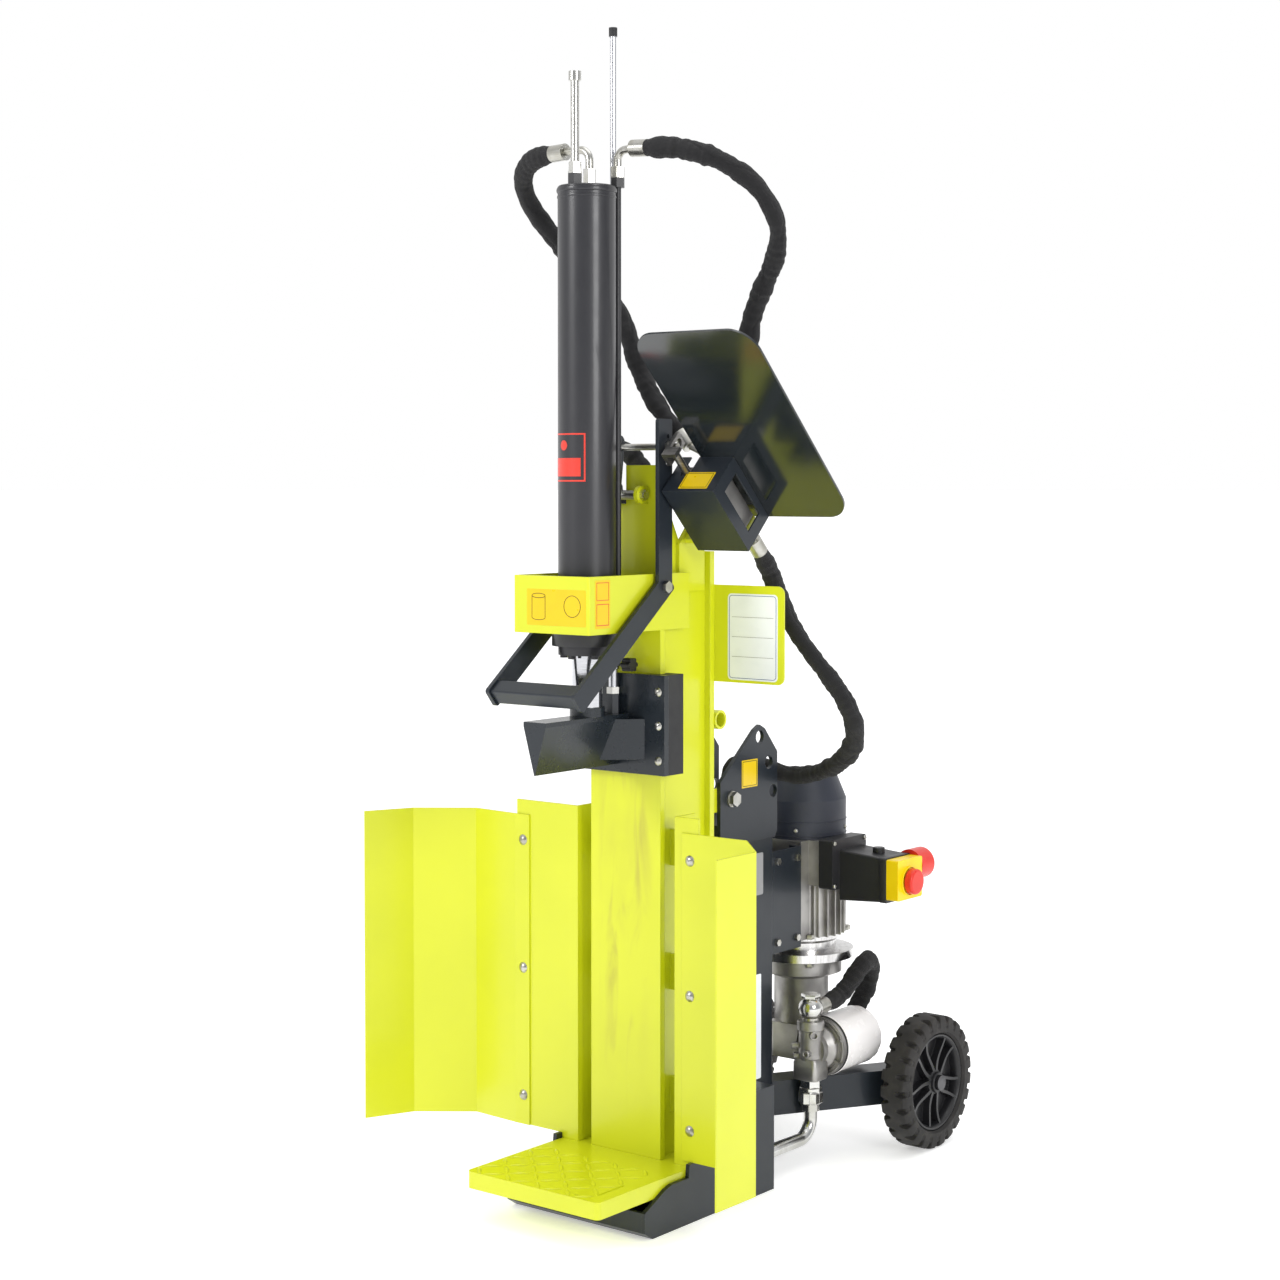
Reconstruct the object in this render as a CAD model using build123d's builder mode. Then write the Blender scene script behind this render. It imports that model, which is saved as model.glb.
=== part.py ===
from build123d import *
import math
import os

# Upright hydraulic log splitter. Millimetres, +Z up, ground at Z = 0.
# X = 0 is the middle plane of the column, Y = 0 its front face, and -Y is the front.

# --- Driving dimensions -------------------------------------------------------------
# Column: a wide flange beam closed with cheek plates
COLUMN_W = 160
COLUMN_D = 160
FLANGE_T = 13
WEB_T = 8
CHEEK_INSET = 12
CHEEK_T = 6
COLUMN_TOP = 1181
HEAD_TOP = 1337
NOTCH = (-22, 2, 1268)
PLATE_T = 8
# running gap between a cover and the shelf that carries it
SEAT_GAP = 0.3

# Base plate and foot
BASE_W = 300
BASE_FRONT = -260
BASE_T = 30
BASE_TOP = 95
FOOT_FRONT = -143
FOOT_REAR = 242
FOOT_SIDE_T = 8
SKID_T = 8
SUMP_TOP = 194
FOOT_SHOULDER = 105
SUMP_WALL = 5

# Oil tank, ears and lift tube
TANK_W = 130
TANK_FRONT = 190
TANK_REAR = 371
TANK_BOTTOM = 60
TANK_TOP = 672
TANK_WALL = 4
EAR_T = 8
EAR_HOLE_R = 12.5
EAR_HOLES = ((313.8, 827), (343.5, 776.4), (357.3, 720.7))
EAR_BOLT_D = 16
EAR_BOLT_AT = (224, 719)
LIFT_TUBE_D = 35
LIFT_TUBE_BORE = 26
LIFT_TUBE_Z = 871

# Guards
WING_INNER = COLUMN_W / 2 + 32
WING_T = 5
WING_TOP = 715
WING_RETURN = 56
LEFT_WING_END = 260
RIGHT_WING_END = 165
GUARD_T = 3
GUARD_BOTTOM = FOOT_SHOULDER
GUARD_TOP = 688
LEFT_GUARD_PLAN = ((-228, -1.5), (-262, -1.5), (-369, 6), (-464, -68), (-503, -159))
RIGHT_GUARD_X = (130, 290)
RIGHT_FLANGE_DEPTH = 115
GUARD_BOLT_X = (-243, 148)
GUARD_BOLT_Z = (160, 400, 640)
GUARD_BOLT_D = 10
TAB_Z = (204, 426, 651)
TAB_H = 65

# Cylinder and its collar
CYL_Y = -107
CYL_R = 51
CYL_BORE_R = 43
ROD_R = 27
RUN_CLEARANCE = 0.08
COLLAR_FRONT = -205
COLLAR_BACK = 76
COLLAR_BOTTOM = 1045
COLLAR_TOP = 1145
COLLAR_T = 6
CYL_TOP = 1823
CAP_H = 18
CYL_FLANGE_R = 62
CYL_FLANGE_T = 25
GLAND_H = 16
FEED_R = 6
FEED_ANGLE = 58.5

# Carriage
PLATE_HALF = COLUMN_W / 2 + 26
PLATE_BACK = -10
SLIDE_T = 12
SLIDE_Z = (788, 966)
PAD_CLEARANCE = 0.4
PAD_REACH = 33
SLIDE_BOLT_X = COLUMN_W / 2 + 12
SLIDE_BOLT_Z = (814, 876, 936)
SLIDE_BOLT_D = 8
WEDGE_TOP = 895
WEDGE_HALF = 25
WEDGE_FRONT = -248
WEDGE_EDGE_Z = 803
BOSS_R = 31
BOSS_H = 17
STROKE_ROD_Y = -34
STROKE_ROD_R = 5.5
STROKE_ROD_TOP = 2109
STOP_TUBE_R = 8.5
CLAMP_Z = 975

# Two hand lever
PIVOT = (-12, 1122)
PIVOT_R = 6
ARM_INNER = COLUMN_W / 2 + COLLAR_T + 7
ARM_T = 8
ARM_W = 38
ARM_TOP = 1399
HANDLE_AT = (-237, 942)
HANDLE_SIZE = 30
HANDLE_WALL = 3
CROSS_AT = (-5, 1369)
CROSS_R = 6
STOP_PIVOT = (-16, 1284)
STOP_X = (-15, -9)
SHAFT_R = 5.5

# Valve group, turned 45 degrees about X: u runs down and back, w runs up and back
BOX_X = (105, 217)
BOX_U = (-933, -783)
BOX_W = (892.5, 977.5)
BOX_WALL = 3
SHIELD_X = (145, 395)
SHIELD_U = (-1221, -784)
SHIELD_T = 4
SHIELD_CORNER = 48
VALVE_X = (120, 200)
VALVE_U = (-922, -800)
VALVE_W = (903, 965)
SPOOL_X = 134
SPOOL_W = 940
SPOOL_R = 7
SHELF_T = 10

# Motor, pump and filter
MOTOR_Y = 560
MOTOR_R = 78
FIN_R = 88
FINS = 28
MOTOR_Z = (414, 608)
COWL_TOP = 731
COWL_T = 2.5
MOTOR_FLANGE_R = 103
RING_R = 80
BELL_R = 54
BELL_Z = (237, 367)
PUMP_Z = (168, 237)
PUMP_W = 84
SHAFT_MOTOR_R = 12
BRACKET_X = 62
BRACKET_BACK = 468
BRACKET_Z = (403, 600)
FILTER_X = 118
FILTER_Z = 219
CANISTER_R = 58
CANISTER_Y = (464, 592)
HEAD_Y = 420
HEAD_Z = (162, 276)

# Legs and wheels
LEG_SIZE = (60, 66)
LEG_Z = 125
LEG_FROM = (28, TANK_REAR)
LEG_TO = (203, 660)
LEG_END_X = 196
WHEEL_R = 130
TYRE_BORE_R = 95
WHEEL_X = (204, 262)
AXLE_Y = 656
AXLE_R = 10
AXLE_CLEARANCE = 0.1

# Hoses
HOSE_R = 14
FERRULE_R = 15

ROOT2 = math.sqrt(2)
VALVE_PLANE = Plane(origin=(0, 0, 0), x_dir=(1, 0, 0), z_dir=(0, 1, 1))
YZ = Plane.YZ

os.makedirs("parts", exist_ok=True)


def uw(x, u, w):
    """Point (x, y, z) of the valve group's (x, u, w)."""
    return (x, (w + u) / ROOT2, (w - u) / ROOT2)


def rod(radius, start, end):
    """Plain round bar between two points."""
    axis = Vector(*end) - Vector(*start)
    with BuildPart() as bar:
        with BuildSketch(Plane(origin=start, z_dir=axis)):
            Circle(radius)
        extrude(amount=axis.length)
    return bar.part


def pipe(radius, points, bend):
    """Solid round pipe along straight runs joined by arcs."""
    with BuildPart() as bent:
        with BuildLine() as route:
            FilletPolyline(*points, radius=bend)
        with BuildSketch(Plane(origin=points[0], z_dir=route.line % 0)):
            Circle(radius)
        sweep()
    return bent.part


def hexagon(across_flats, start, end, bore=0):
    """Hexagonal nut or bolt head between two points."""
    axis = Vector(*end) - Vector(*start)
    with BuildPart() as nut:
        with BuildSketch(Plane(origin=start, z_dir=axis)):
            RegularPolygon(across_flats / 2, 6, major_radius=False)
            if bore:
                Circle(bore, mode=Mode.SUBTRACT)
        extrude(amount=axis.length)
    return nut.part


def group(*solids):
    """Separate solids that share one node."""
    members = []
    for solid in solids:
        members += solid.solids()
    return Compound(children=members)


# --- Column -------------------------------------------------------------------------
with BuildPart() as column_beam:
    with BuildSketch(Plane.XY.offset(BASE_TOP)):
        with Locations((0, FLANGE_T / 2), (0, COLUMN_D - FLANGE_T / 2)):
            Rectangle(COLUMN_W, FLANGE_T)
        with Locations((0, COLUMN_D / 2)):
            Rectangle(WEB_T, COLUMN_D - FLANGE_T)
    extrude(amount=COLUMN_TOP - BASE_TOP)
    # the front flange runs on above the column as the head plate
    with BuildSketch(Plane.XY.offset(COLUMN_TOP)):
        with Locations((0, FLANGE_T / 2)):
            Rectangle(COLUMN_W, FLANGE_T)
    extrude(amount=HEAD_TOP - COLUMN_TOP)
    # notch behind the stop lever
    with Locations(((NOTCH[0] + NOTCH[1]) / 2, FLANGE_T / 2, NOTCH[2])):
        Box(NOTCH[1] - NOTCH[0], 2 * FLANGE_T, HEAD_TOP - NOTCH[2] + 1,
            align=(Align.CENTER, Align.CENTER, Align.MIN), mode=Mode.SUBTRACT)
column_beam.part.label = "column_beam"
export_step(column_beam.part, "parts/column_beam.step")

CHEEK_OUT = COLUMN_W / 2 - CHEEK_INSET
with BuildPart() as cheeks:
    for side in (-CHEEK_OUT, CHEEK_OUT - CHEEK_T):
        with BuildSketch(YZ.offset(side)):
            with BuildLine():
                Polyline(
                    (FLANGE_T, BASE_TOP), (COLUMN_D - FLANGE_T, BASE_TOP),
                    (COLUMN_D - FLANGE_T, COLUMN_TOP), (COLUMN_D / 2, COLUMN_TOP),
                    (FLANGE_T + 12, COLUMN_TOP + 105), (FLANGE_T, COLUMN_TOP + 105), close=True)
            make_face()
        extrude(amount=CHEEK_T)

# tabs from the cheeks to the guard wings
TAB_Y = (WING_RETURN - 12, WING_RETURN - 4)
with BuildPart() as wing_tabs:
    for side in (-1, 1):
        for height in TAB_Z:
            with Locations((side * (CHEEK_OUT + WING_INNER) / 2, sum(TAB_Y) / 2, height)):
                Box(WING_INNER - CHEEK_OUT, TAB_Y[1] - TAB_Y[0], TAB_H)

# lugs behind the column that take the ear bolts
LUG_OUT = TANK_W / 2
with BuildPart() as ear_lugs:
    for side in (-LUG_OUT, LUG_OUT - PLATE_T):
        with BuildSketch(YZ.offset(side)):
            with Locations(((COLUMN_D + EAR_BOLT_AT[0]) / 2, EAR_BOLT_AT[1])):
                Rectangle(EAR_BOLT_AT[0] - COLUMN_D, 44)
            with Locations(EAR_BOLT_AT):
                Circle(22)
                Circle(EAR_BOLT_D / 2 + 0.5, mode=Mode.SUBTRACT)
        extrude(amount=PLATE_T)

# lug on the head plate that carries the stop lever's shaft
STOP_LUG_X = (44, 52)
with BuildPart() as stop_lug:
    with BuildSketch(YZ.offset(STOP_LUG_X[0])):
        with Locations(STOP_PIVOT):
            Circle(16)
        with Locations((STOP_PIVOT[0] / 2, STOP_PIVOT[1])):
            Rectangle(-STOP_PIVOT[0], 32)
        with Locations(STOP_PIVOT):
            Circle(SHAFT_R + 0.1, mode=Mode.SUBTRACT)
    extrude(amount=STOP_LUG_X[1] - STOP_LUG_X[0])

# bracket that carries the valve: a plate on the right cheek and a shelf under the valve
with BuildPart() as valve_bracket:
    with BuildSketch(YZ.offset(CHEEK_OUT)):
        with BuildLine():
            Polyline((60, 1110), (135, 1110), (135, 1252), (114, 1256), (60, 1196), close=True)
        make_face()
    extrude(amount=PLATE_T)
    with BuildSketch(VALVE_PLANE.offset(VALVE_W[0])):
        with Locations(((CHEEK_OUT + VALVE_X[1]) / 2, VALVE_U[1] + SHELF_T / 2)):
            Rectangle(VALVE_X[1] - CHEEK_OUT, SHELF_T)
    extrude(amount=VALVE_W[1] - VALVE_W[0])
    with Locations(Plane(origin=uw(180, VALVE_U[1], 950), z_dir=(0, 1, -1))):
        Cylinder(11, 60, mode=Mode.SUBTRACT)

column_plates = group(cheeks.part, wing_tabs.part, ear_lugs.part, stop_lug.part, valve_bracket.part)
column_plates.label = "column_plates"
export_step(column_plates, "parts/column_plates.step")

with BuildPart() as lift_tube:
    with BuildSketch(YZ.offset(-COLUMN_W / 2 - 2)):
        with Locations((COLUMN_D + LIFT_TUBE_D / 2, LIFT_TUBE_Z)):
            Circle(LIFT_TUBE_D / 2)
            Circle(LIFT_TUBE_BORE / 2, mode=Mode.SUBTRACT)
    extrude(amount=COLUMN_W + 4)
lift_tube.part.label = "lift_tube"
export_step(lift_tube.part, "parts/lift_tube.step")

# information plate: flat root on the column's back, wide blank face
INFO_Z = (943, 1120)
INFO_X = (40, 235)
with BuildPart() as info_plate:
    with BuildSketch(Plane.XZ.offset(-COLUMN_D)):
        with Locations((sum(INFO_X) / 2, sum(INFO_Z) / 2)):
            Rectangle(INFO_X[1] - INFO_X[0], INFO_Z[1] - INFO_Z[0])
    extrude(amount=-GUARD_T)
    fillet(info_plate.edges().filter_by(Axis.Y).group_by(Axis.X)[-1], 14)
info_plate.part.label = "info_plate"
export_step(info_plate.part, "parts/info_plate.step")

# --- Guards -------------------------------------------------------------------------
with BuildPart() as guard_wings:
    for side, reach in ((-1, LEFT_WING_END), (1, RIGHT_WING_END)):
        with BuildSketch(Plane.XY.offset(BASE_TOP)):
            with Locations((side * (WING_INNER + reach) / 2, WING_T / 2)):
                Rectangle(reach - WING_INNER, WING_T)
            with Locations((side * (WING_INNER + WING_T / 2), WING_RETURN / 2)):
                Rectangle(WING_T, WING_RETURN)
        extrude(amount=WING_TOP - BASE_TOP)
        # the wing stands clear above the foot's side plate
        with Locations((side * (BASE_W / 2 + reach), 0, BASE_TOP)):
            Box(2 * reach, 4 * WING_T, 2 * (FOOT_SHOULDER - BASE_TOP), mode=Mode.SUBTRACT)
    for x in GUARD_BOLT_X:
        for z in GUARD_BOLT_Z:
            with Locations(Location((x, WING_T / 2, z), (90, 0, 0))):
                Cylinder(GUARD_BOLT_D / 2 + 0.3, 3 * WING_T, mode=Mode.SUBTRACT)
guard_wings.part.label = "guard_wings"
export_step(guard_wings.part, "parts/guard_wings.step")

with BuildPart() as guard_left:
    with BuildSketch(Plane.XY.offset(GUARD_BOTTOM)):
        with BuildLine():
            Polyline(*LEFT_GUARD_PLAN)
        trace(line_width=GUARD_T)
    extrude(amount=GUARD_TOP - GUARD_BOTTOM)
    for z in GUARD_BOLT_Z:
        with Locations(Location((GUARD_BOLT_X[0], 0, z), (90, 0, 0))):
            Cylinder(GUARD_BOLT_D / 2 + 0.3, 4 * GUARD_T, mode=Mode.SUBTRACT)
guard_left.part.label = "guard_left"
export_step(guard_left.part, "parts/guard_left.step")

with BuildPart() as guard_right:
    with BuildSketch(Plane.XZ):
        with BuildLine():
            Polyline(
                (RIGHT_GUARD_X[0], GUARD_BOTTOM), (RIGHT_GUARD_X[1], GUARD_BOTTOM),
                (RIGHT_GUARD_X[1], GUARD_TOP - 18), (RIGHT_GUARD_X[1] - 20, GUARD_TOP),
                (RIGHT_GUARD_X[0], GUARD_TOP), close=True)
        make_face()
    extrude(amount=GUARD_T)
    with BuildSketch(YZ.offset(RIGHT_GUARD_X[1] - GUARD_T)):
        with BuildLine():
            Polyline(
                (0, 70), (0, GUARD_TOP - 18), (-RIGHT_FLANGE_DEPTH, GUARD_TOP - 18),
                (-RIGHT_FLANGE_DEPTH, 70), close=True)
        make_face()
    extrude(amount=GUARD_T)
    for z in GUARD_BOLT_Z:
        with Locations(Location((GUARD_BOLT_X[1], 0, z), (90, 0, 0))):
            Cylinder(GUARD_BOLT_D / 2 + 0.3, 4 * GUARD_T, mode=Mode.SUBTRACT)
guard_right.part.label = "guard_right"
export_step(guard_right.part, "parts/guard_right.step")


def dome_bolt(x, z, front, back, diameter, nut_t):
    """Round headed bolt along Y with its nut behind."""
    with BuildPart() as bolt:
        with BuildSketch(Plane.XY):
            with BuildLine():
                head_r = diameter
                Line((0, front - 0.5 * diameter), (0, back + nut_t + 3))
                Line((0, back + nut_t + 3), (diameter / 2, back + nut_t + 3))
                Line((diameter / 2, back + nut_t + 3), (diameter / 2, front))
                Line((diameter / 2, front), (head_r, front))
                RadiusArc((head_r, front), (0, front - 0.5 * diameter), 1.25 * diameter)
            make_face()
        revolve(axis=Axis.Y)
    nut = hexagon(1.7 * diameter, (0, back, 0), (0, back + nut_t, 0), diameter / 2 + 0.05)
    move = Location((x, 0, z))
    return [move * bolt.part, move * nut]


bolts = []
for x in GUARD_BOLT_X:
    for z in GUARD_BOLT_Z:
        bolts += dome_bolt(x, z, -GUARD_T, WING_T, GUARD_BOLT_D, 8)
guard_bolts = group(*bolts)
guard_bolts.label = "guard_bolts"
export_step(guard_bolts, "parts/guard_bolts.step")

# --- Base plate and foot ------------------------------------------------------------
with BuildPart() as base_plate:
    with BuildSketch(Plane.XY.offset(BASE_TOP - BASE_T)):
        with Locations((0, (BASE_FRONT + COLUMN_D) / 2)):
            Rectangle(BASE_W, COLUMN_D - BASE_FRONT)
    extrude(amount=BASE_T)
    fillet(base_plate.edges().filter_by(Axis.Z).group_by(Axis.Y)[0], 10)
    # two shallow marks beside the right front edge
    with BuildSketch(Plane.XY.offset(BASE_TOP)):
        with Locations((122, -190)):
            SlotOverall(70, 4, rotation=90)
        with Locations((96, -246)):
            SlotOverall(22, 4)
    extrude(amount=-2, mode=Mode.SUBTRACT)
base_plate.part.label = "base_plate"
export_step(base_plate.part, "parts/base_plate.step")

SIDE_IN = BASE_W / 2
with BuildPart() as foot_sides:
    for side in (-SIDE_IN - FOOT_SIDE_T, SIDE_IN):
        with BuildSketch(YZ.offset(side)):
            with BuildLine():
                Polyline(
                    (FOOT_FRONT + 22, 0), (FOOT_FRONT, 14), (FOOT_FRONT, 49), (-84, 77), (-66, 82),
                    (-18, 82), (-16, FOOT_SHOULDER), (70, FOOT_SHOULDER), (110, SUMP_TOP), (FOOT_REAR, SUMP_TOP),
                    (FOOT_REAR, 0), close=True)
            make_face()
        extrude(amount=FOOT_SIDE_T)

# skid plate with a turned up nose between the side plates
with BuildPart() as skid:
    with BuildSketch(YZ.offset(-SIDE_IN)):
        with BuildLine():
            Polyline(
                (FOOT_FRONT + 22, 0), (FOOT_REAR, 0), (FOOT_REAR, SKID_T), (FOOT_FRONT + 25, SKID_T),
                (FOOT_FRONT + SKID_T, 18), (FOOT_FRONT + SKID_T, 49), (FOOT_FRONT, 49),
                (FOOT_FRONT, 14), close=True)
        make_face()
    extrude(amount=2 * SIDE_IN)

# sump box at the back of the foot, cut out round the tank
SUMP_FRONT = COLUMN_D
with BuildPart() as sump:
    with BuildSketch(Plane.XY.offset(SKID_T)):
        with Locations((0, (SUMP_FRONT + FOOT_REAR) / 2)):
            Rectangle(2 * SIDE_IN, FOOT_REAR - SUMP_FRONT)
    extrude(amount=SUMP_TOP - SKID_T)
    with BuildSketch(Plane.XY.offset(SKID_T + SUMP_WALL)):
        with Locations((0, (SUMP_FRONT + FOOT_REAR) / 2)):
            Rectangle(2 * (SIDE_IN - SUMP_WALL), FOOT_REAR - SUMP_FRONT - 2 * SUMP_WALL)
    extrude(amount=SUMP_TOP - SKID_T - 2 * SUMP_WALL, mode=Mode.SUBTRACT)
    with BuildSketch(Plane.XY.offset(TANK_BOTTOM)):
        with Locations((0, (TANK_FRONT + FOOT_REAR) / 2 + 10)):
            Rectangle(TANK_W, FOOT_REAR - TANK_FRONT + 20)
    extrude(amount=SUMP_TOP, mode=Mode.SUBTRACT)
    with Locations(Location((FILTER_X, FOOT_REAR, 52), (90, 0, 0))):
        Cylinder(14, 4 * SUMP_WALL, mode=Mode.SUBTRACT)
foot_frame = group(foot_sides.part, skid.part, sump.part)
foot_frame.label = "foot_frame"
export_step(foot_frame, "parts/foot_frame.step")

# --- Oil tank and ears --------------------------------------------------------------
TANK_Y = (TANK_FRONT + TANK_REAR) / 2
with BuildPart() as oil_tank:
    with BuildSketch(Plane.XY.offset(TANK_BOTTOM)):
        with Locations((0, TANK_Y)):
            Rectangle(TANK_W, TANK_REAR - TANK_FRONT)
    extrude(amount=TANK_TOP - TANK_BOTTOM)
    fillet(oil_tank.edges().filter_by(Axis.Z), 6)
    with BuildSketch(Plane.XY.offset(TANK_BOTTOM + TANK_WALL)):
        with Locations((0, TANK_Y)):
            Rectangle(TANK_W - 2 * TANK_WALL, TANK_REAR - TANK_FRONT - 2 * TANK_WALL)
    extrude(amount=TANK_TOP - TANK_BOTTOM - 2 * TANK_WALL, mode=Mode.SUBTRACT)
    # return port in the top
    with Locations((0, 320, TANK_TOP)):
        Cylinder(9, 4 * TANK_WALL, mode=Mode.SUBTRACT)
oil_tank.part.label = "oil_tank"
export_step(oil_tank.part, "parts/oil_tank.step")

with BuildPart() as lifting_ears:
    for side in (-TANK_W / 2 - EAR_T, TANK_W / 2):
        with BuildSketch(YZ.offset(side)):
            with BuildLine():
                Polyline(
                    (197, 632), (189, 644), (189, 752), (297, 842), (313.8, 850), (330, 842),
                    (371, 795), (371, 644), (363, 632), close=True)
            make_face()
            with Locations(*EAR_HOLES):
                Circle(EAR_HOLE_R, mode=Mode.SUBTRACT)
            with Locations(EAR_BOLT_AT):
                Circle(EAR_BOLT_D / 2 + 0.5, mode=Mode.SUBTRACT)
        extrude(amount=EAR_T)
lifting_ears.part.label = "lifting_ears"
export_step(lifting_ears.part, "parts/lifting_ears.step")

bolts = []
for side in (-1, 1):
    outer = side * (TANK_W / 2 + EAR_T)
    inner = side * (TANK_W / 2 - PLATE_T)
    y, z = EAR_BOLT_AT
    with BuildPart() as ear_bolt:
        add(rod(EAR_BOLT_D / 2, (inner - side * 16, y, z), (outer + side * 5, y, z)))
        add(rod(15, (outer, y, z), (outer + side * 3, y, z)))
        add(hexagon(24, (outer + side * 3, y, z), (outer + side * 13, y, z)))
    nut = hexagon(24, (inner, y, z), (inner - side * 13, y, z), EAR_BOLT_D / 2 + 0.05)
    bolts += [ear_bolt.part, nut]
ear_bolts = group(*bolts)
ear_bolts.label = "ear_bolts"
export_step(ear_bolts, "parts/ear_bolts.step")

# --- Legs and wheels ----------------------------------------------------------------
LEG_LENGTH = math.hypot(LEG_TO[0] - LEG_FROM[0], LEG_TO[1] - LEG_FROM[1])
LEG_WALL = 4
with BuildPart() as leg:
    with BuildSketch(Plane(origin=(*LEG_FROM, LEG_Z), x_dir=(0, 0, 1),
                           z_dir=(LEG_TO[0] - LEG_FROM[0], LEG_TO[1] - LEG_FROM[1], 0))) as leg_section:
        Rectangle(LEG_SIZE[1], LEG_SIZE[0])
        Rectangle(LEG_SIZE[1] - 2 * LEG_WALL, LEG_SIZE[0] - 2 * LEG_WALL, mode=Mode.SUBTRACT)
    extrude(amount=LEG_LENGTH + 60)
    extrude(leg_section.sketch, amount=-80)
    split(bisect_by=Plane(origin=(0, TANK_REAR, 0), z_dir=(0, 1, 0)), keep=Keep.TOP)
    split(bisect_by=Plane(origin=(LEG_END_X, 0, 0), z_dir=(-1, 0, 0)), keep=Keep.TOP)
    split(bisect_by=Plane(origin=(2, 0, 0), z_dir=(1, 0, 0)), keep=Keep.TOP)
    with Locations(Location((LEG_END_X, AXLE_Y, WHEEL_R), (0, 90, 0))):
        Cylinder(AXLE_R + 0.05, 160, mode=Mode.SUBTRACT)
rear_legs = group(leg.part, mirror(leg.part, about=YZ))
rear_legs.label = "rear_legs"
export_step(rear_legs, "parts/rear_legs.step")

pieces = []
for side in (-1, 1):
    y, z = AXLE_Y, WHEEL_R
    with BuildPart() as axle:
        add(rod(AXLE_R, (side * 150, y, z), (side * (WHEEL_X[1] + 4), y, z)))
        add(rod(AXLE_R + 6, (side * LEG_END_X, y, z), (side * (WHEEL_X[0] - 0.5), y, z)))
        add(rod(AXLE_R + 5, (side * (WHEEL_X[1] + 0.5), y, z), (side * (WHEEL_X[1] + 6), y, z)))
    pieces.append(axle.part)
axles = group(*pieces)
axles.label = "axles"
export_step(axles, "parts/axles.step")

for side, name in ((-1, "left"), (1, "right")):
    inner, outer = side * WHEEL_X[0], side * WHEEL_X[1]
    middle = (inner + outer) / 2
    half = (WHEEL_X[1] - WHEEL_X[0]) / 2
    with BuildPart() as tyre:
        with BuildSketch(Plane(origin=(middle, AXLE_Y, WHEEL_R), x_dir=(1, 0, 0), z_dir=(0, -1, 0))):
            with BuildLine():
                Polyline(
                    (-half, TYRE_BORE_R + 6), (-half, WHEEL_R - 12), (-half + 8, WHEEL_R - 1.5),
                    (-half + 16, WHEEL_R), (half - 16, WHEEL_R), (half - 8, WHEEL_R - 1.5),
                    (half, WHEEL_R - 12), (half, TYRE_BORE_R + 6), (half - 10, TYRE_BORE_R),
                    (-half + 10, TYRE_BORE_R), close=True)
            make_face()
        revolve(axis=Axis(origin=(0, AXLE_Y, WHEEL_R), direction=(1, 0, 0)))
    tyre.part.label = "tyre_" + name
    export_step(tyre.part, "parts/tyre_" + name + ".step")

    with BuildPart() as rim:
        with BuildSketch(YZ.offset(middle - 22)):
            with Locations((AXLE_Y, WHEEL_R)):
                Circle(TYRE_BORE_R)
                Circle(TYRE_BORE_R - 9, mode=Mode.SUBTRACT)
                Circle(24)
                with PolarLocations(55, 10):
                    Rectangle(66, 7)
                Circle(AXLE_R + AXLE_CLEARANCE, mode=Mode.SUBTRACT)
        extrude(amount=44)
        # the hub reaches both ends of the wheel
        with BuildSketch(YZ.offset(middle - half)):
            with Locations((AXLE_Y, WHEEL_R)):
                Circle(20)
                Circle(AXLE_R + AXLE_CLEARANCE, mode=Mode.SUBTRACT)
        extrude(amount=2 * half)
    rim.part.label = "rim_" + name
    export_step(rim.part, "parts/rim_" + name + ".step")

# --- Collar and cylinder ------------------------------------------------------------
with BuildPart() as collar:
    with BuildSketch(Plane.XY.offset(COLLAR_BOTTOM)):
        with Locations((0, (COLLAR_FRONT + COLLAR_BACK) / 2)):
            Rectangle(COLUMN_W + 2 * COLLAR_T, COLLAR_BACK - COLLAR_FRONT)
        with Locations((0, (COLLAR_FRONT + COLLAR_T + COLLAR_BACK) / 2 + 1)):
            Rectangle(COLUMN_W, COLLAR_BACK - COLLAR_FRONT - COLLAR_T + 2, mode=Mode.SUBTRACT)
    extrude(amount=COLLAR_TOP - COLLAR_BOTTOM)
    fillet(collar.edges().filter_by(Axis.Z).group_by(Axis.Y)[0], 5)
    # floor plate that the cylinder's flange is bolted to
    with BuildSketch(Plane.XY.offset(COLLAR_BOTTOM)):
        with Locations((0, (COLLAR_FRONT + COLLAR_T) / 2)):
            Rectangle(COLUMN_W, -COLLAR_FRONT - COLLAR_T)
        with Locations((0, CYL_Y)):
            Circle(CYL_R + 0.3, mode=Mode.SUBTRACT)
        with Locations((0, STROKE_ROD_Y)):
            Circle(STROKE_ROD_R + 5, mode=Mode.SUBTRACT)
        with Locations((32, -56)):
            Circle(FEED_R + 6, mode=Mode.SUBTRACT)
    extrude(amount=12)
    for side in (-1, 1):
        with Locations(Location((side * (COLUMN_W / 2 + COLLAR_T / 2), PIVOT[0], PIVOT[1]), (0, 90, 0))):
            Cylinder(PIVOT_R, 2 * COLLAR_T, mode=Mode.SUBTRACT)
collar.part.label = "collar"
export_step(collar.part, "parts/collar.step")

with BuildPart() as cylinder_tube:
    with BuildSketch(Plane.XY.offset(COLLAR_BOTTOM)):
        with Locations((0, CYL_Y)):
            Circle(CYL_R)
            Circle(CYL_BORE_R, mode=Mode.SUBTRACT)
    extrude(amount=CYL_TOP - CAP_H - COLLAR_BOTTOM)
cylinder_tube.part.label = "cylinder_tube"
export_step(cylinder_tube.part, "parts/cylinder_tube.step")

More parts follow.
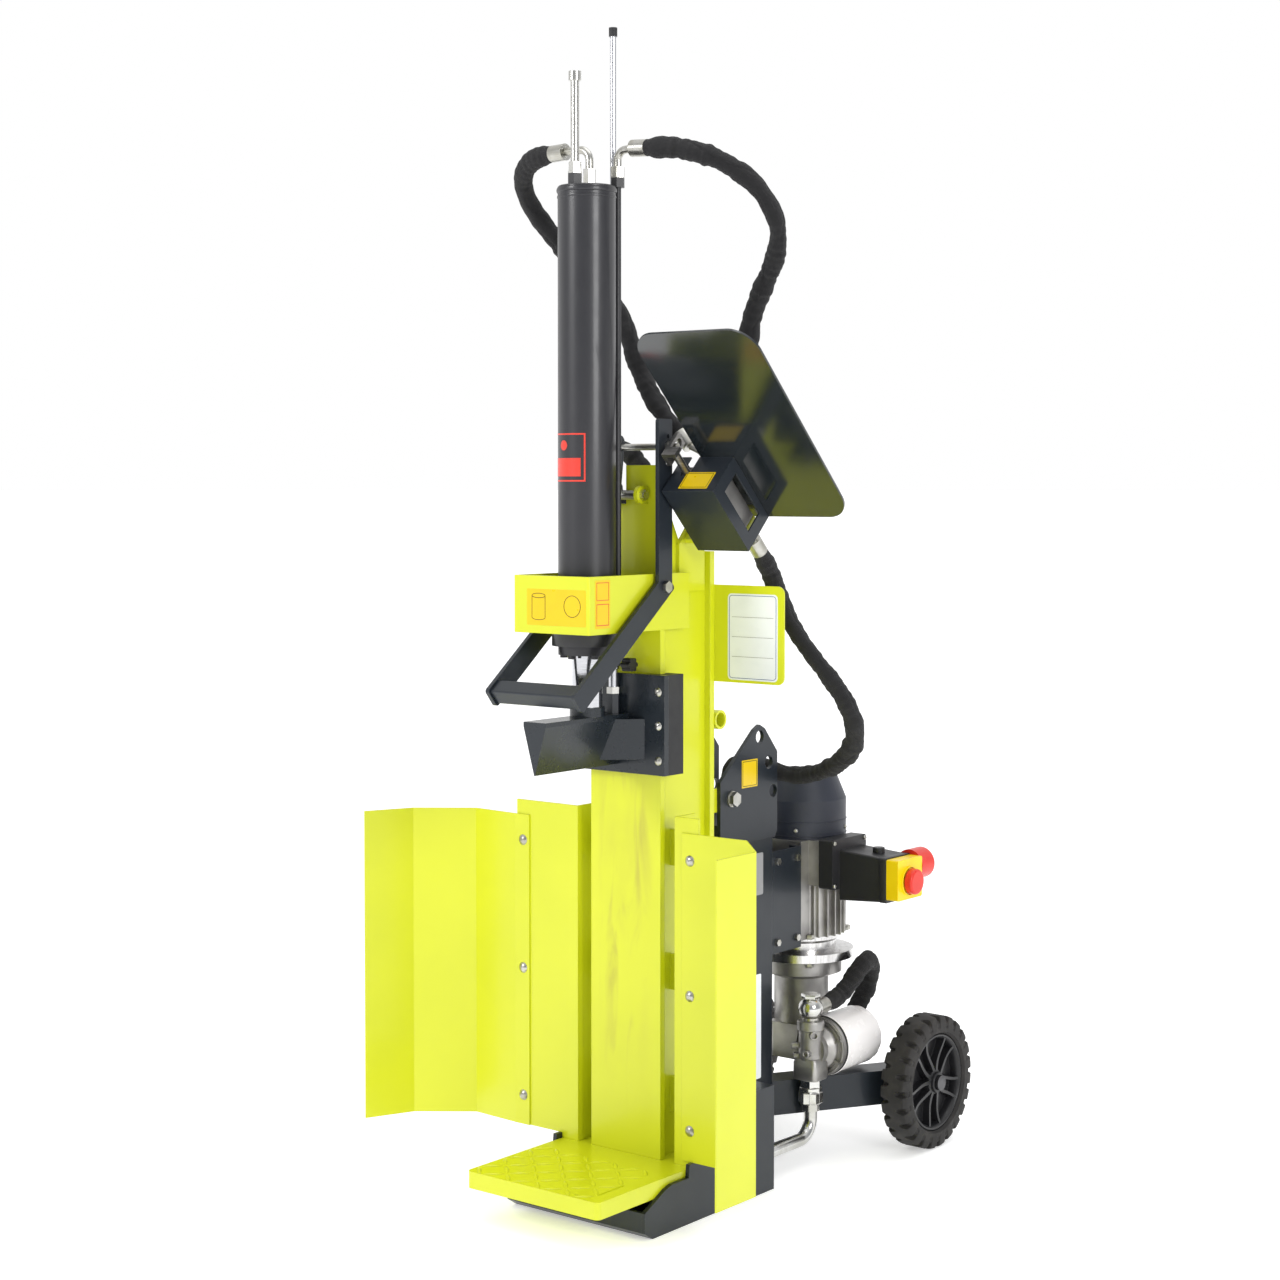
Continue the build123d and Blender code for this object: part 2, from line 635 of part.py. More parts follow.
with BuildPart() as cylinder_cap:
    with BuildSketch(Plane.XY.offset(CYL_TOP - CAP_H)):
        with Locations((0, CYL_Y)):
            Circle(CYL_R)
    extrude(amount=CAP_H)
    chamfer(cylinder_cap.edges().group_by(Axis.Z)[-1], 2)
with BuildPart() as cylinder_flange:
    with BuildSketch(Plane.XY.offset(COLLAR_BOTTOM)):
        with Locations((0, CYL_Y)):
            Circle(CYL_FLANGE_R)
    extrude(amount=-CYL_FLANGE_T)
    with BuildSketch(Plane.XY.offset(COLLAR_BOTTOM - CYL_FLANGE_T)):
        with Locations((0, CYL_Y)):
            Circle(CYL_R)
    extrude(amount=-GLAND_H)
    with Locations((0, CYL_Y, COLLAR_BOTTOM)):
        Cylinder(ROD_R + RUN_CLEARANCE, 200, mode=Mode.SUBTRACT)
GLAND_BOTTOM = COLLAR_BOTTOM - CYL_FLANGE_T - GLAND_H
bolts = []
for turn in range(6):
    angle = math.radians(30 + 60 * turn)
    x, y = 41 * math.cos(angle), CYL_Y + 41 * math.sin(angle)
    bolts.append(hexagon(13, (x, y, GLAND_BOTTOM), (x, y, GLAND_BOTTOM - 6)))
cylinder_ends = group(cylinder_cap.part, cylinder_flange.part, *bolts)
cylinder_ends.label = "cylinder_ends"
export_step(cylinder_ends, "parts/cylinder_ends.step")

# external pipe to the lower port, and the bleed pipe on the cap
FEED_AT = (CYL_R + FEED_R + 0.4) * math.cos(math.radians(FEED_ANGLE))
FEED_Y = CYL_Y + (CYL_R + FEED_R + 0.4) * math.sin(math.radians(FEED_ANGLE))
with BuildPart() as feed_pipe:
    add(rod(FEED_R, (FEED_AT, FEED_Y, 1062), (FEED_AT, FEED_Y, CYL_TOP)))
    add(hexagon(22, (FEED_AT, FEED_Y, CYL_TOP), (FEED_AT, FEED_Y, 1840)))
with BuildPart() as bleed_hex:
    add(hexagon(22, (0, -139, CYL_TOP), (0, -139, 1846)))
with BuildPart() as bleed_pipe:
    add(hexagon(20, (0, -139, 1846), (0, -139, 1862)))
    add(rod(7.5, (0, -139, 1862), (0, -139, 2002)))
    add(rod(11, (0, -139, 2002), (0, -139, 2018)))
cylinder_pipes = group(feed_pipe.part, bleed_hex.part, bleed_pipe.part)
cylinder_pipes.label = "cylinder_pipes"
export_step(cylinder_pipes, "parts/cylinder_pipes.step")

# --- Carriage -----------------------------------------------------------------------
with BuildPart() as slide_plate:
    with BuildSketch(Plane.XZ.offset(-PLATE_BACK)):
        with Locations((0, sum(SLIDE_Z) / 2)):
            Rectangle(2 * PLATE_HALF, SLIDE_Z[1] - SLIDE_Z[0])
    extrude(amount=SLIDE_T)
    for side in (-1, 1):
        for z in SLIDE_BOLT_Z:
            with Locations(Location((side * SLIDE_BOLT_X, PLATE_BACK - SLIDE_T / 2, z), (90, 0, 0))):
                Cylinder(SLIDE_BOLT_D / 2 + 0.2, 2 * SLIDE_T, mode=Mode.SUBTRACT)
slide_plate.part.label = "slide_plate"
export_step(slide_plate.part, "parts/slide_plate.step")

EDGE = COLUMN_W / 2
with BuildPart() as guide_pads:
    with BuildSketch(Plane.XY.offset(SLIDE_Z[0])):
        with BuildLine():
            Polyline(
                (EDGE - 22, PLATE_BACK), (PLATE_HALF, PLATE_BACK), (PLATE_HALF, PAD_REACH),
                (EDGE - 9, PAD_REACH), (EDGE - 9, FLANGE_T + PAD_CLEARANCE),
                (EDGE + PAD_CLEARANCE, FLANGE_T + PAD_CLEARANCE),
                (EDGE + PAD_CLEARANCE, -PAD_CLEARANCE), (EDGE - 22, -PAD_CLEARANCE), close=True)
        make_face()
        mirror(about=YZ)
    extrude(amount=SLIDE_Z[1] - SLIDE_Z[0])
    for side in (-1, 1):
        for z in SLIDE_BOLT_Z:
            with Locations(Location((side * SLIDE_BOLT_X, 0, z), (90, 0, 0))):
                Cylinder(SLIDE_BOLT_D / 2 + 0.2, 4 * PAD_REACH, mode=Mode.SUBTRACT)
guide_pads.part.label = "guide_pads"
export_step(guide_pads.part, "parts/guide_pads.step")

bolts = []
for side in (-1, 1):
    for z in SLIDE_BOLT_Z:
        bolts += dome_bolt(side * SLIDE_BOLT_X, z, PLATE_BACK - SLIDE_T, PAD_REACH, SLIDE_BOLT_D, 5)
slide_bolts = group(*bolts)
slide_bolts.label = "slide_bolts"
export_step(slide_bolts, "parts/slide_bolts.step")

SLIDE_FRONT = PLATE_BACK - SLIDE_T
with BuildPart() as wedge:
    with BuildSketch(Plane.XZ.offset(-SLIDE_FRONT)):
        with BuildLine():
            Polyline(
                (-WEDGE_HALF, WEDGE_TOP), (WEDGE_HALF, WEDGE_TOP), (WEDGE_HALF, WEDGE_TOP - 8),
                (1, WEDGE_EDGE_Z), (-1, WEDGE_EDGE_Z), (-WEDGE_HALF, WEDGE_TOP - 8), close=True)
        make_face()
    extrude(amount=SLIDE_FRONT - WEDGE_FRONT)
    # gussets that spread the log beside the slide plate
    for side in (-1, 1):
        with BuildSketch(Plane.XY.offset(WEDGE_EDGE_Z + 12)):
            with BuildLine():
                Polyline(
                    (0, SLIDE_FRONT), (side * 62, SLIDE_FRONT), (side * 56, SLIDE_FRONT - 6),
                    (0, SLIDE_FRONT - 60), close=True)
            make_face()
        extrude(amount=WEDGE_TOP - WEDGE_EDGE_Z - 20)
    with Locations((0, CYL_Y, WEDGE_TOP)):
        Cylinder(BOSS_R, BOSS_H, align=(Align.CENTER, Align.CENTER, Align.MIN))
wedge.part.label = "wedge"
export_step(wedge.part, "parts/wedge.step")

PISTON_TOP = CYL_TOP - CAP_H - 12
with BuildPart() as piston_rod:
    add(rod(ROD_R, (0, CYL_Y, WEDGE_TOP + BOSS_H), (0, CYL_Y, PISTON_TOP - 40)))
    add(rod(CYL_BORE_R - RUN_CLEARANCE, (0, CYL_Y, PISTON_TOP - 40), (0, CYL_Y, PISTON_TOP)))
piston_rod.part.label = "piston_rod"
export_step(piston_rod.part, "parts/piston_rod.step")

# rod that shows and limits the stroke, standing on the wedge
Y = STROKE_ROD_Y
STROKE_FOOT_TOP = 930
STOP_TUBE_Z = (942, 1000)
with BuildPart() as stroke_foot:
    add(hexagon(20, (0, Y, WEDGE_TOP), (0, Y, STROKE_FOOT_TOP)))
    add(hexagon(22, (0, Y, STROKE_FOOT_TOP), (0, Y, STOP_TUBE_Z[0])))
    add(rod(STOP_TUBE_R, (0, Y, STOP_TUBE_Z[0]), (0, Y, STOP_TUBE_Z[1])))
with BuildPart() as stroke_bar:
    add(rod(STROKE_ROD_R, (0, Y, STOP_TUBE_Z[1]), (0, Y, STROKE_ROD_TOP - 16)))
with BuildPart() as stroke_cap:
    add(rod(7.5, (0, Y, STROKE_ROD_TOP - 16), (0, Y, STROKE_ROD_TOP)))
with BuildPart() as clamp:
    with BuildSketch(Plane.XY.offset(CLAMP_Z)):
        with Locations((0, Y)):
            Circle(12.5)
        with Locations((8, Y)):
            Rectangle(16, 18)
        with Locations((0, Y)):
            Circle(STOP_TUBE_R + 0.05, mode=Mode.SUBTRACT)
    extrude(amount=16)
    with Locations(Location((12, Y, CLAMP_Z + 8), (0, 90, 0))):
        Cylinder(3.1, 16, mode=Mode.SUBTRACT)
stroke_rod = group(stroke_foot.part, stroke_bar.part, stroke_cap.part, clamp.part)
stroke_rod.label = "stroke_rod"
export_step(stroke_rod, "parts/stroke_rod.step")

with BuildPart() as clamp_knob:
    add(rod(3, (STOP_TUBE_R + 1, Y, CLAMP_Z + 8), (26, Y, CLAMP_Z + 8)))
    with BuildSketch(YZ.offset(26)):
        with Locations((Y, CLAMP_Z + 8)):
            Circle(10)
            with PolarLocations(9, 6):
                Circle(4)
    extrude(amount=20)
clamp_knob.part.label = "clamp_knob"
export_step(clamp_knob.part, "parts/clamp_knob.step")

# --- Two hand lever -----------------------------------------------------------------
reach = Vector(HANDLE_AT[0] - PIVOT[0], HANDLE_AT[1] - PIVOT[1])
ARM_ANGLE = math.degrees(math.atan2(reach.Y, reach.X))
SLOT_Z = (1341, CROSS_AT[1])
with BuildPart() as lever_arms:
    for side in (-ARM_INNER - ARM_T, ARM_INNER):
        with BuildSketch(YZ.offset(side)):
            with Locations(((PIVOT[0], (ARM_TOP + PIVOT[1]) / 2))):
                RectangleRounded(ARM_W, ARM_TOP - PIVOT[1] + ARM_W, 5)
            with Locations(Location(((PIVOT[0] + HANDLE_AT[0]) / 2, (PIVOT[1] + HANDLE_AT[1]) / 2, 0),
                                    (0, 0, ARM_ANGLE))):
                RectangleRounded(reach.length + ARM_W, ARM_W, 6)
            with Locations((PIVOT[0], PIVOT[1])):
                Circle(PIVOT_R + 0.1, mode=Mode.SUBTRACT)
            with Locations((CROSS_AT[0], sum(SLOT_Z) / 2)):
                SlotCenterToCenter(SLOT_Z[1] - SLOT_Z[0], 2 * CROSS_R + 0.4, rotation=90, mode=Mode.SUBTRACT)
            with Locations((CROSS_AT[0], 1387)):
                Circle(4, mode=Mode.SUBTRACT)
        extrude(amount=ARM_T)
    # trim the bottom end of each upright flush with the slanted strip
    with BuildSketch(Plane(origin=(0, *PIVOT), x_dir=(0, reach.X, reach.Y), z_dir=(1, 0, 0))):
        with Locations((0, 2.5 * ARM_W)):
            Rectangle(4 * ARM_W, 4 * ARM_W)
    extrude(amount=2 * ARM_INNER, both=True, mode=Mode.SUBTRACT)
lever_arms.part.label = "lever_arms"
export_step(lever_arms.part, "parts/lever_arms.step")

with BuildPart() as handle_bar:
    with BuildSketch(Plane(origin=(-ARM_INNER, *HANDLE_AT), x_dir=(0, reach.X, reach.Y), z_dir=(1, 0, 0))):
        RectangleRounded(HANDLE_SIZE, HANDLE_SIZE, 3)
        Rectangle(HANDLE_SIZE - 2 * HANDLE_WALL, HANDLE_SIZE - 2 * HANDLE_WALL, mode=Mode.SUBTRACT)
    extrude(amount=2 * ARM_INNER)
handle_bar.part.label = "handle_bar"
export_step(handle_bar.part, "parts/handle_bar.step")

ARM_OUT = ARM_INNER + ARM_T
nuts = []
for side in (-1, 1):
    for start, end in ((ARM_OUT, ARM_OUT + 6), (ARM_INNER, ARM_INNER - 6)):
        nuts.append(hexagon(18, (side * start, *CROSS_AT), (side * end, *CROSS_AT), CROSS_R + 0.05))
cross_bar = rod(CROSS_R, (-ARM_OUT - 10, *CROSS_AT), (ARM_OUT + 22, *CROSS_AT))
cross_rod = group(cross_bar, *nuts)
cross_rod.label = "cross_rod"
export_step(cross_rod, "parts/cross_rod.step")

# pivot bolts on the collar and the stop lever's shaft in its lug
pins = []
COLLAR_OUT = COLUMN_W / 2 + COLLAR_T
for side in (-1, 1):
    with BuildPart() as pin:
        add(rod(PIVOT_R, (side * (COLLAR_OUT - COLLAR_T), *PIVOT), (side * (ARM_OUT + 8), *PIVOT)))
        add(rod(PIVOT_R + 4, (side * COLLAR_OUT, *PIVOT), (side * (ARM_INNER - 0.4), *PIVOT)))
        add(hexagon(19, (side * (ARM_OUT + 0.4), *PIVOT), (side * (ARM_OUT + 8), *PIVOT)))
    pins.append(pin.part)
with BuildPart() as stop_shaft:
    add(rod(SHAFT_R, (STOP_X[0] - 4, *STOP_PIVOT), (STOP_LUG_X[1], *STOP_PIVOT)))
    add(rod(SHAFT_R + 3, (STOP_X[1] + 0.4, *STOP_PIVOT), (STOP_LUG_X[0], *STOP_PIVOT)))
    add(hexagon(17, (STOP_LUG_X[1], *STOP_PIVOT), (STOP_LUG_X[1] + 8, *STOP_PIVOT)))
lever_pivots = group(*pins, stop_shaft.part)
lever_pivots.label = "lever_pivots"
export_step(lever_pivots, "parts/lever_pivots.step")

# stop lever: swung by the cross rod in its slotted top
lean = Vector(CROSS_AT[0] - STOP_PIVOT[0], CROSS_AT[1] - STOP_PIVOT[1])
STOP_ANGLE = math.degrees(math.atan2(lean.Y, lean.X))
CROSS_PLAY = 1.5
with BuildPart() as stop_lever:
    with BuildSketch(YZ.offset(STOP_X[0])):
        with Locations(Location((STOP_PIVOT[0] + lean.X / 2, STOP_PIVOT[1] + lean.Y / 2, 0),
                                (0, 0, STOP_ANGLE))):
            SlotCenterToCenter(lean.length + 16, 28)
        with Locations(STOP_PIVOT):
            Circle(SHAFT_R + 0.1, mode=Mode.SUBTRACT)
        with Locations(Location((*CROSS_AT, 0), (0, 0, STOP_ANGLE))):
            SlotOverall(2 * (CROSS_R + CROSS_PLAY) + 8, 2 * (CROSS_R + CROSS_PLAY), mode=Mode.SUBTRACT)
    extrude(amount=STOP_X[1] - STOP_X[0])
stop_lever.part.label = "stop_lever"
export_step(stop_lever.part, "parts/stop_lever.step")

# --- Valve group --------------------------------------------------------------------
CROSS_U = (CROSS_AT[0] - CROSS_AT[1]) / ROOT2
CROSS_W = (CROSS_AT[0] + CROSS_AT[1]) / ROOT2
YOKE_X = (112, 120)
YOKE_SWING = 12
with BuildPart() as valve_spool:
    with BuildSketch(VALVE_PLANE.offset(SPOOL_W - 10)):
        with Locations(((YOKE_X[0] + SPOOL_X + 8) / 2, CROSS_U - 10)):
            Rectangle(SPOOL_X + 8 - YOKE_X[0], 8)
    extrude(amount=20)
    with BuildSketch(Plane(origin=(YOKE_X[0], 0, 0), x_dir=(0, 1, 1), z_dir=(1, 0, 0))):
        with Locations((CROSS_W - 6, -CROSS_U)):
            Rectangle(2 * YOKE_SWING + 33, 2 * (CROSS_R + CROSS_PLAY) + 12)
        with Locations((CROSS_W, -CROSS_U)):
            SlotOverall(2 * (YOKE_SWING + CROSS_R), 2 * (CROSS_R + CROSS_PLAY), mode=Mode.SUBTRACT)
    extrude(amount=YOKE_X[1] - YOKE_X[0])
    add(rod(SPOOL_R, uw(SPOOL_X, CROSS_U - 8, SPOOL_W), uw(SPOOL_X, VALVE_U[1] - 20, SPOOL_W)))
valve_spool.part.label = "valve_spool"
export_step(valve_spool.part, "parts/valve_spool.step")

PORT_A = (165, -850)
PORT_B = (130, -885)
PORT_C = (180, 950)
PORT_E = (-870, 940)
with BuildPart() as valve_body:
    with BuildSketch(VALVE_PLANE.offset(VALVE_W[0])):
        with Locations((sum(VALVE_X) / 2, sum(VALVE_U) / 2)):
            Rectangle(VALVE_X[1] - VALVE_X[0], VALVE_U[1] - VALVE_U[0])
    extrude(amount=VALVE_W[1] - VALVE_W[0])
    chamfer(valve_body.edges().filter_by(GeomType.LINE), 2)
    with Locations(Plane(origin=uw(SPOOL_X, VALVE_U[0], SPOOL_W), z_dir=(0, -1, 1))):
        Cylinder(SPOOL_R + 0.06, 2 * (VALVE_U[1] - VALVE_U[0] - 3), mode=Mode.SUBTRACT)
valve_body.part.label = "valve_body"
export_step(valve_body.part, "parts/valve_body.step")

with BuildPart() as valve_box:
    with BuildSketch(VALVE_PLANE.offset(BOX_W[0])):
        with Locations((sum(BOX_X) / 2, sum(BOX_U) / 2)):
            Rectangle(BOX_X[1] - BOX_X[0], BOX_U[1] - BOX_U[0])
    extrude(amount=BOX_W[1] - BOX_W[0])
    with BuildSketch(VALVE_PLANE.offset(BOX_W[0] + BOX_WALL)):
        with Locations((sum(BOX_X) / 2, sum(BOX_U) / 2 + BOX_WALL)):
            Rectangle(BOX_X[1] - BOX_X[0] - 2 * BOX_WALL, BOX_U[1] - BOX_U[0])
    extrude(amount=BOX_W[1] - BOX_W[0], mode=Mode.SUBTRACT)
    # window in the right side, and the ways in for the shelf, the hose and the spool
    with BuildSketch(VALVE_PLANE.offset(BOX_W[0] + 24)):
        with Locations((BOX_X[1], -858)):
            Rectangle(4 * BOX_WALL, 100)
    extrude(amount=46, mode=Mode.SUBTRACT)
    with BuildSketch(VALVE_PLANE.offset(VALVE_W[0] - SEAT_GAP)):
        with Locations((BOX_X[0], -790)):
            Rectangle(4 * BOX_WALL, 24)
        with Locations((BOX_X[0], PORT_E[0])):
            Rectangle(4 * BOX_WALL, 36)
    extrude(amount=BOX_W[1], mode=Mode.SUBTRACT)
    with BuildSketch(VALVE_PLANE.offset(SPOOL_W - SPOOL_R - 2)):
        with Locations((SPOOL_X, BOX_U[0])):
            Rectangle(2 * SPOOL_R + 4, 4 * BOX_WALL)
    extrude(amount=BOX_W[1], mode=Mode.SUBTRACT)
valve_box.part.label = "valve_box"
export_step(valve_box.part, "parts/valve_box.step")

with BuildPart() as shield:
    with BuildSketch(VALVE_PLANE.offset(BOX_W[1])):
        with Locations((sum(SHIELD_X) / 2, sum(SHIELD_U) / 2)):
            RectangleRounded(SHIELD_X[1] - SHIELD_X[0], SHIELD_U[1] - SHIELD_U[0], SHIELD_CORNER)
        with Locations(PORT_A):
            Circle(18, mode=Mode.SUBTRACT)
    extrude(amount=SHIELD_T)
shield.part.label = "shield"
export_step(shield.part, "parts/shield.step")

# --- Motor --------------------------------------------------------------------------
MOTOR_AXIS = Axis(origin=(0, MOTOR_Y, 0), direction=(0, 0, 1))
PAD_X = 90
with BuildPart() as motor_body:
    with BuildSketch(Plane.XY.offset(MOTOR_Z[0])):
        with Locations((0, MOTOR_Y)):
            Circle(MOTOR_R)
            with PolarLocations((MOTOR_R + FIN_R) / 2 - 1, FINS, start_angle=180 / FINS):
                Rectangle(FIN_R - MOTOR_R + 2, 3)
        with Locations((0, (BRACKET_BACK + MOTOR_Y) / 2)):
            Rectangle(2 * BRACKET_X, MOTOR_Y - BRACKET_BACK)
    extrude(amount=MOTOR_Z[1] - MOTOR_Z[0])
    with BuildSketch(Plane.XY.offset(520)):
        with Locations((PAD_X / 2, 547)):
            Rectangle(PAD_X, 108)
    extrude(amount=MOTOR_Z[1] - 520)
    with Locations((0, MOTOR_Y, MOTOR_Z[0])):
        Cylinder(MOTOR_R - 8, 500, mode=Mode.SUBTRACT)
motor_body.part.label = "motor_body"
export_step(motor_body.part, "parts/motor_body.step")

with BuildPart() as motor_cowl:
    with BuildSketch(Plane.XZ.offset(-MOTOR_Y)):
        with BuildLine():
            Polyline(
                (FIN_R, MOTOR_Z[1]), (FIN_R, 682), (68, COWL_TOP), (0, COWL_TOP),
                (0, COWL_TOP - COWL_T), (67, COWL_TOP - COWL_T), (FIN_R - COWL_T, 681),
                (FIN_R - COWL_T, MOTOR_Z[1]), close=True)
        make_face()
    revolve(axis=MOTOR_AXIS)
    # air slots of the grille
    with BuildSketch(Plane.XY.offset(COWL_TOP + 1)):
        with Locations((0, MOTOR_Y)):
            with PolarLocations(42, 20):
                SlotOverall(34, 5)
    extrude(amount=-3 * COWL_T, mode=Mode.SUBTRACT)
motor_cowl.part.label = "motor_cowl"
export_step(motor_cowl.part, "parts/motor_cowl.step")

with BuildPart() as motor_rotor:
    with BuildSketch(Plane.XZ.offset(-MOTOR_Y)):
        with BuildLine():
            Polyline(
                (0, 262), (22, 262), (22, 340), (SHAFT_MOTOR_R, 340), (SHAFT_MOTOR_R, 436), (52, 436),
                (52, 590), (SHAFT_MOTOR_R, 590), (SHAFT_MOTOR_R, 632), (30, 632), (30, 668),
                (0, 668), close=True)
        make_face()
    revolve(axis=MOTOR_AXIS)
    # fan blades
    with BuildSketch(Plane.XY.offset(632)):
        with Locations((0, MOTOR_Y)):
            with PolarLocations(49, 8):
                Rectangle(42, 3)
    extrude(amount=34)
motor_rotor.part.label = "motor_rotor"
export_step(motor_rotor.part, "parts/motor_rotor.step")

with BuildPart() as motor_flange:
    with BuildSketch(Plane.XZ.offset(-MOTOR_Y)):
        with BuildLine():
            Polyline(
                (SHAFT_MOTOR_R + RUN_CLEARANCE, 367), (MOTOR_FLANGE_R, 367), (MOTOR_FLANGE_R, 383),
                (69, 387), (69, 400), (MOTOR_R, 406), (MOTOR_R, MOTOR_Z[0]),
                (SHAFT_MOTOR_R + RUN_CLEARANCE, MOTOR_Z[0]), close=True)
        make_face()
    revolve(axis=MOTOR_AXIS)
motor_flange.part.label = "motor_flange"
export_step(motor_flange.part, "parts/motor_flange.step")

with BuildPart() as bell_housing:
    with BuildSketch(Plane.XZ.offset(-MOTOR_Y)):
        with BuildLine():
            Polyline(
                (BELL_R - 6, BELL_Z[0] + 8), (14, BELL_Z[0] + 8), (14, BELL_Z[0]), (BELL_R, BELL_Z[0]),
                (BELL_R, 327), (RING_R, 337), (RING_R, BELL_Z[1]), (BELL_R - 6, BELL_Z[1]), close=True)
        make_face()
    revolve(axis=MOTOR_AXIS)
bell_housing.part.label = "bell_housing"
export_step(bell_housing.part, "parts/bell_housing.step")

with BuildPart() as pump_body:
    with BuildSketch(Plane.XY.offset(PUMP_Z[0])):
        with Locations((0, MOTOR_Y - 8)):
            RectangleRounded(PUMP_W, 96, 14)
    extrude(amount=PUMP_Z[1] - PUMP_Z[0])
    with Locations((0, MOTOR_Y, PUMP_Z[1])):
        Cylinder(9, 20, align=(Align.CENTER, Align.CENTER, Align.MIN))
pump_body.part.label = "pump_body"
export_step(pump_body.part, "parts/pump_body.step")

# channel that carries the motor on the back of the tank
BRACKET_T = 6
with BuildPart() as motor_bracket:
    with BuildSketch(Plane.XY.offset(BRACKET_Z[0])):
        with Locations((0, TANK_REAR + BRACKET_T / 2)):
            Rectangle(2 * BRACKET_X, BRACKET_T)
        for side in (-1, 1):
            with Locations((side * (BRACKET_X - BRACKET_T / 2), (TANK_REAR + BRACKET_BACK) / 2)):
                Rectangle(BRACKET_T, BRACKET_BACK - TANK_REAR)
            with Locations((side * (BRACKET_X - 12), BRACKET_BACK - BRACKET_T / 2)):
                Rectangle(24, BRACKET_T)
    extrude(amount=BRACKET_Z[1] - BRACKET_Z[0])
motor_bracket.part.label = "motor_bracket"
export_step(motor_bracket.part, "parts/motor_bracket.step")

# --- Switch box ---------------------------------------------------------------------
SWITCH_Y = (512, 600)
COVER_X = (229, 255)
BUTTON_AT = (553, 541)
BUTTON_R = 24.5
START_AT = (589, 541)
START_R = 6.5
BUTTON_TRAVEL = 4
STEM_R = 8
with BuildPart() as junction:
    with Locations((PAD_X, 547, 565)):
        Box(32, 119, 97, align=(Align.MIN, Align.CENTER, Align.CENTER))
    fillet(junction.edges().filter_by(Axis.X), 6)
    for y in (494, 600):
        for z in (523, 607):
            with Locations(Location((PAD_X + 32, y, z), (0, 90, 0))):
                Cylinder(3.5, 3, mode=Mode.SUBTRACT)
with BuildPart() as switch_housing:
    with BuildSketch(YZ.offset(PAD_X + 32)):
        with Locations((sum(SWITCH_Y) / 2, 543.5)):
            RectangleRounded(SWITCH_Y[1] - SWITCH_Y[0], 99, 5)
    with BuildSketch(YZ.offset(COVER_X[0])):
        with Locations((sum(SWITCH_Y) / 2, 543)):
            RectangleRounded(SWITCH_Y[1] - SWITCH_Y[0], 84, 5)
    loft()
    # room for the contacts
    with Locations((COVER_X[0], sum(SWITCH_Y) / 2, 543)):
        Box(60, 74, 70, align=(Align.MAX, Align.CENTER, Align.CENTER), mode=Mode.SUBTRACT)
terminal_box = group(junction.part, switch_housing.part)
terminal_box.label = "terminal_box"
export_step(terminal_box, "parts/terminal_box.step")

with BuildPart() as switch_cover:
    with BuildSketch(YZ.offset(COVER_X[0])):
        with Locations((sum(SWITCH_Y) / 2, 545)):
            RectangleRounded(SWITCH_Y[1] - SWITCH_Y[0], 78, 4)
    extrude(amount=COVER_X[1] - COVER_X[0])
    with Locations(Location((COVER_X[1], *BUTTON_AT), (0, 90, 0))):
        Cylinder(STEM_R + 0.3, 60, mode=Mode.SUBTRACT)
    with Locations(Location((COVER_X[1], *START_AT), (0, 90, 0))):
        Cylinder(START_R + 0.3, 60, mode=Mode.SUBTRACT)
switch_cover.part.label = "switch_cover"
export_step(switch_cover.part, "parts/switch_cover.step")

with BuildPart() as stop_button:
    add(rod(STEM_R, (COVER_X[0] + 2, *BUTTON_AT), (COVER_X[1] + BUTTON_TRAVEL + 1, *BUTTON_AT)))
    add(rod(BUTTON_R, (COVER_X[1] + BUTTON_TRAVEL + 1, *BUTTON_AT), (275, *BUTTON_AT)))
    fillet(stop_button.edges().group_by(Axis.X)[-1], 5)
stop_button.part.label = "stop_button"
export_step(stop_button.part, "parts/stop_button.step")

with BuildPart() as start_button:
    add(rod(START_R, (COVER_X[0] + 3, *START_AT), (COVER_X[1] + 3.5, *START_AT)))
start_button.part.label = "start_button"
export_step(start_button.part, "parts/start_button.step")

# five pin inlet on the side of the switch box
INLET_AT = (226, 563)
with BuildPart() as inlet_shell:
    with BuildSketch(Plane.XZ.offset(-SWITCH_Y[1])):
        with Locations(INLET_AT):
            Circle(30)
    extrude(amount=-45)
    with BuildSketch(Plane.XZ.offset(-SWITCH_Y[1] - 8)):
        with Locations(INLET_AT):
            Circle(26.5)
    extrude(amount=-60, mode=Mode.SUBTRACT)
pins = [inlet_shell.part]
for turn in range(5):
    angle = math.radians(90 + 72 * turn)
    x, z = INLET_AT[0] + 14 * math.cos(angle), INLET_AT[1] + 14 * math.sin(angle)
    pins.append(rod(3, (x, SWITCH_Y[1] + 8, z), (x, SWITCH_Y[1] + 36, z)))
power_inlet = group(*pins)
power_inlet.label = "power_inlet"
export_step(power_inlet, "parts/power_inlet.step")

# --- Filter and suction -------------------------------------------------------------
with BuildPart() as filter_canister:
    with BuildSketch(Plane.XZ.offset(-CANISTER_Y[0])):
        with Locations((FILTER_X, FILTER_Z)):
            Circle(CANISTER_R)
    extrude(amount=CANISTER_Y[0] - CANISTER_Y[1])
    fillet(filter_canister.edges().group_by(Axis.Y)[-1], 12)
filter_canister.part.label = "filter_canister"
export_step(filter_canister.part, "parts/filter_canister.step")

with BuildPart() as filter_head:
    with Locations((FILTER_X, HEAD_Y, HEAD_Z[0])):
        Cylinder(23, HEAD_Z[1] - HEAD_Z[0], align=(Align.CENTER, Align.CENTER, Align.MIN))
    add(rod(32, (FILTER_X, HEAD_Y, FILTER_Z), (FILTER_X, CANISTER_Y[0] - 12, FILTER_Z)))
    add(rod(CANISTER_R - 2, (FILTER_X, CANISTER_Y[0] - 12, FILTER_Z), (FILTER_X, CANISTER_Y[0], FILTER_Z)))
    with Locations((FILTER_X, HEAD_Y, HEAD_Z[0])):
        Cylinder(11, 400, mode=Mode.SUBTRACT)
filter_head.part.label = "filter_head"
export_step(filter_head.part, "parts/filter_head.step")

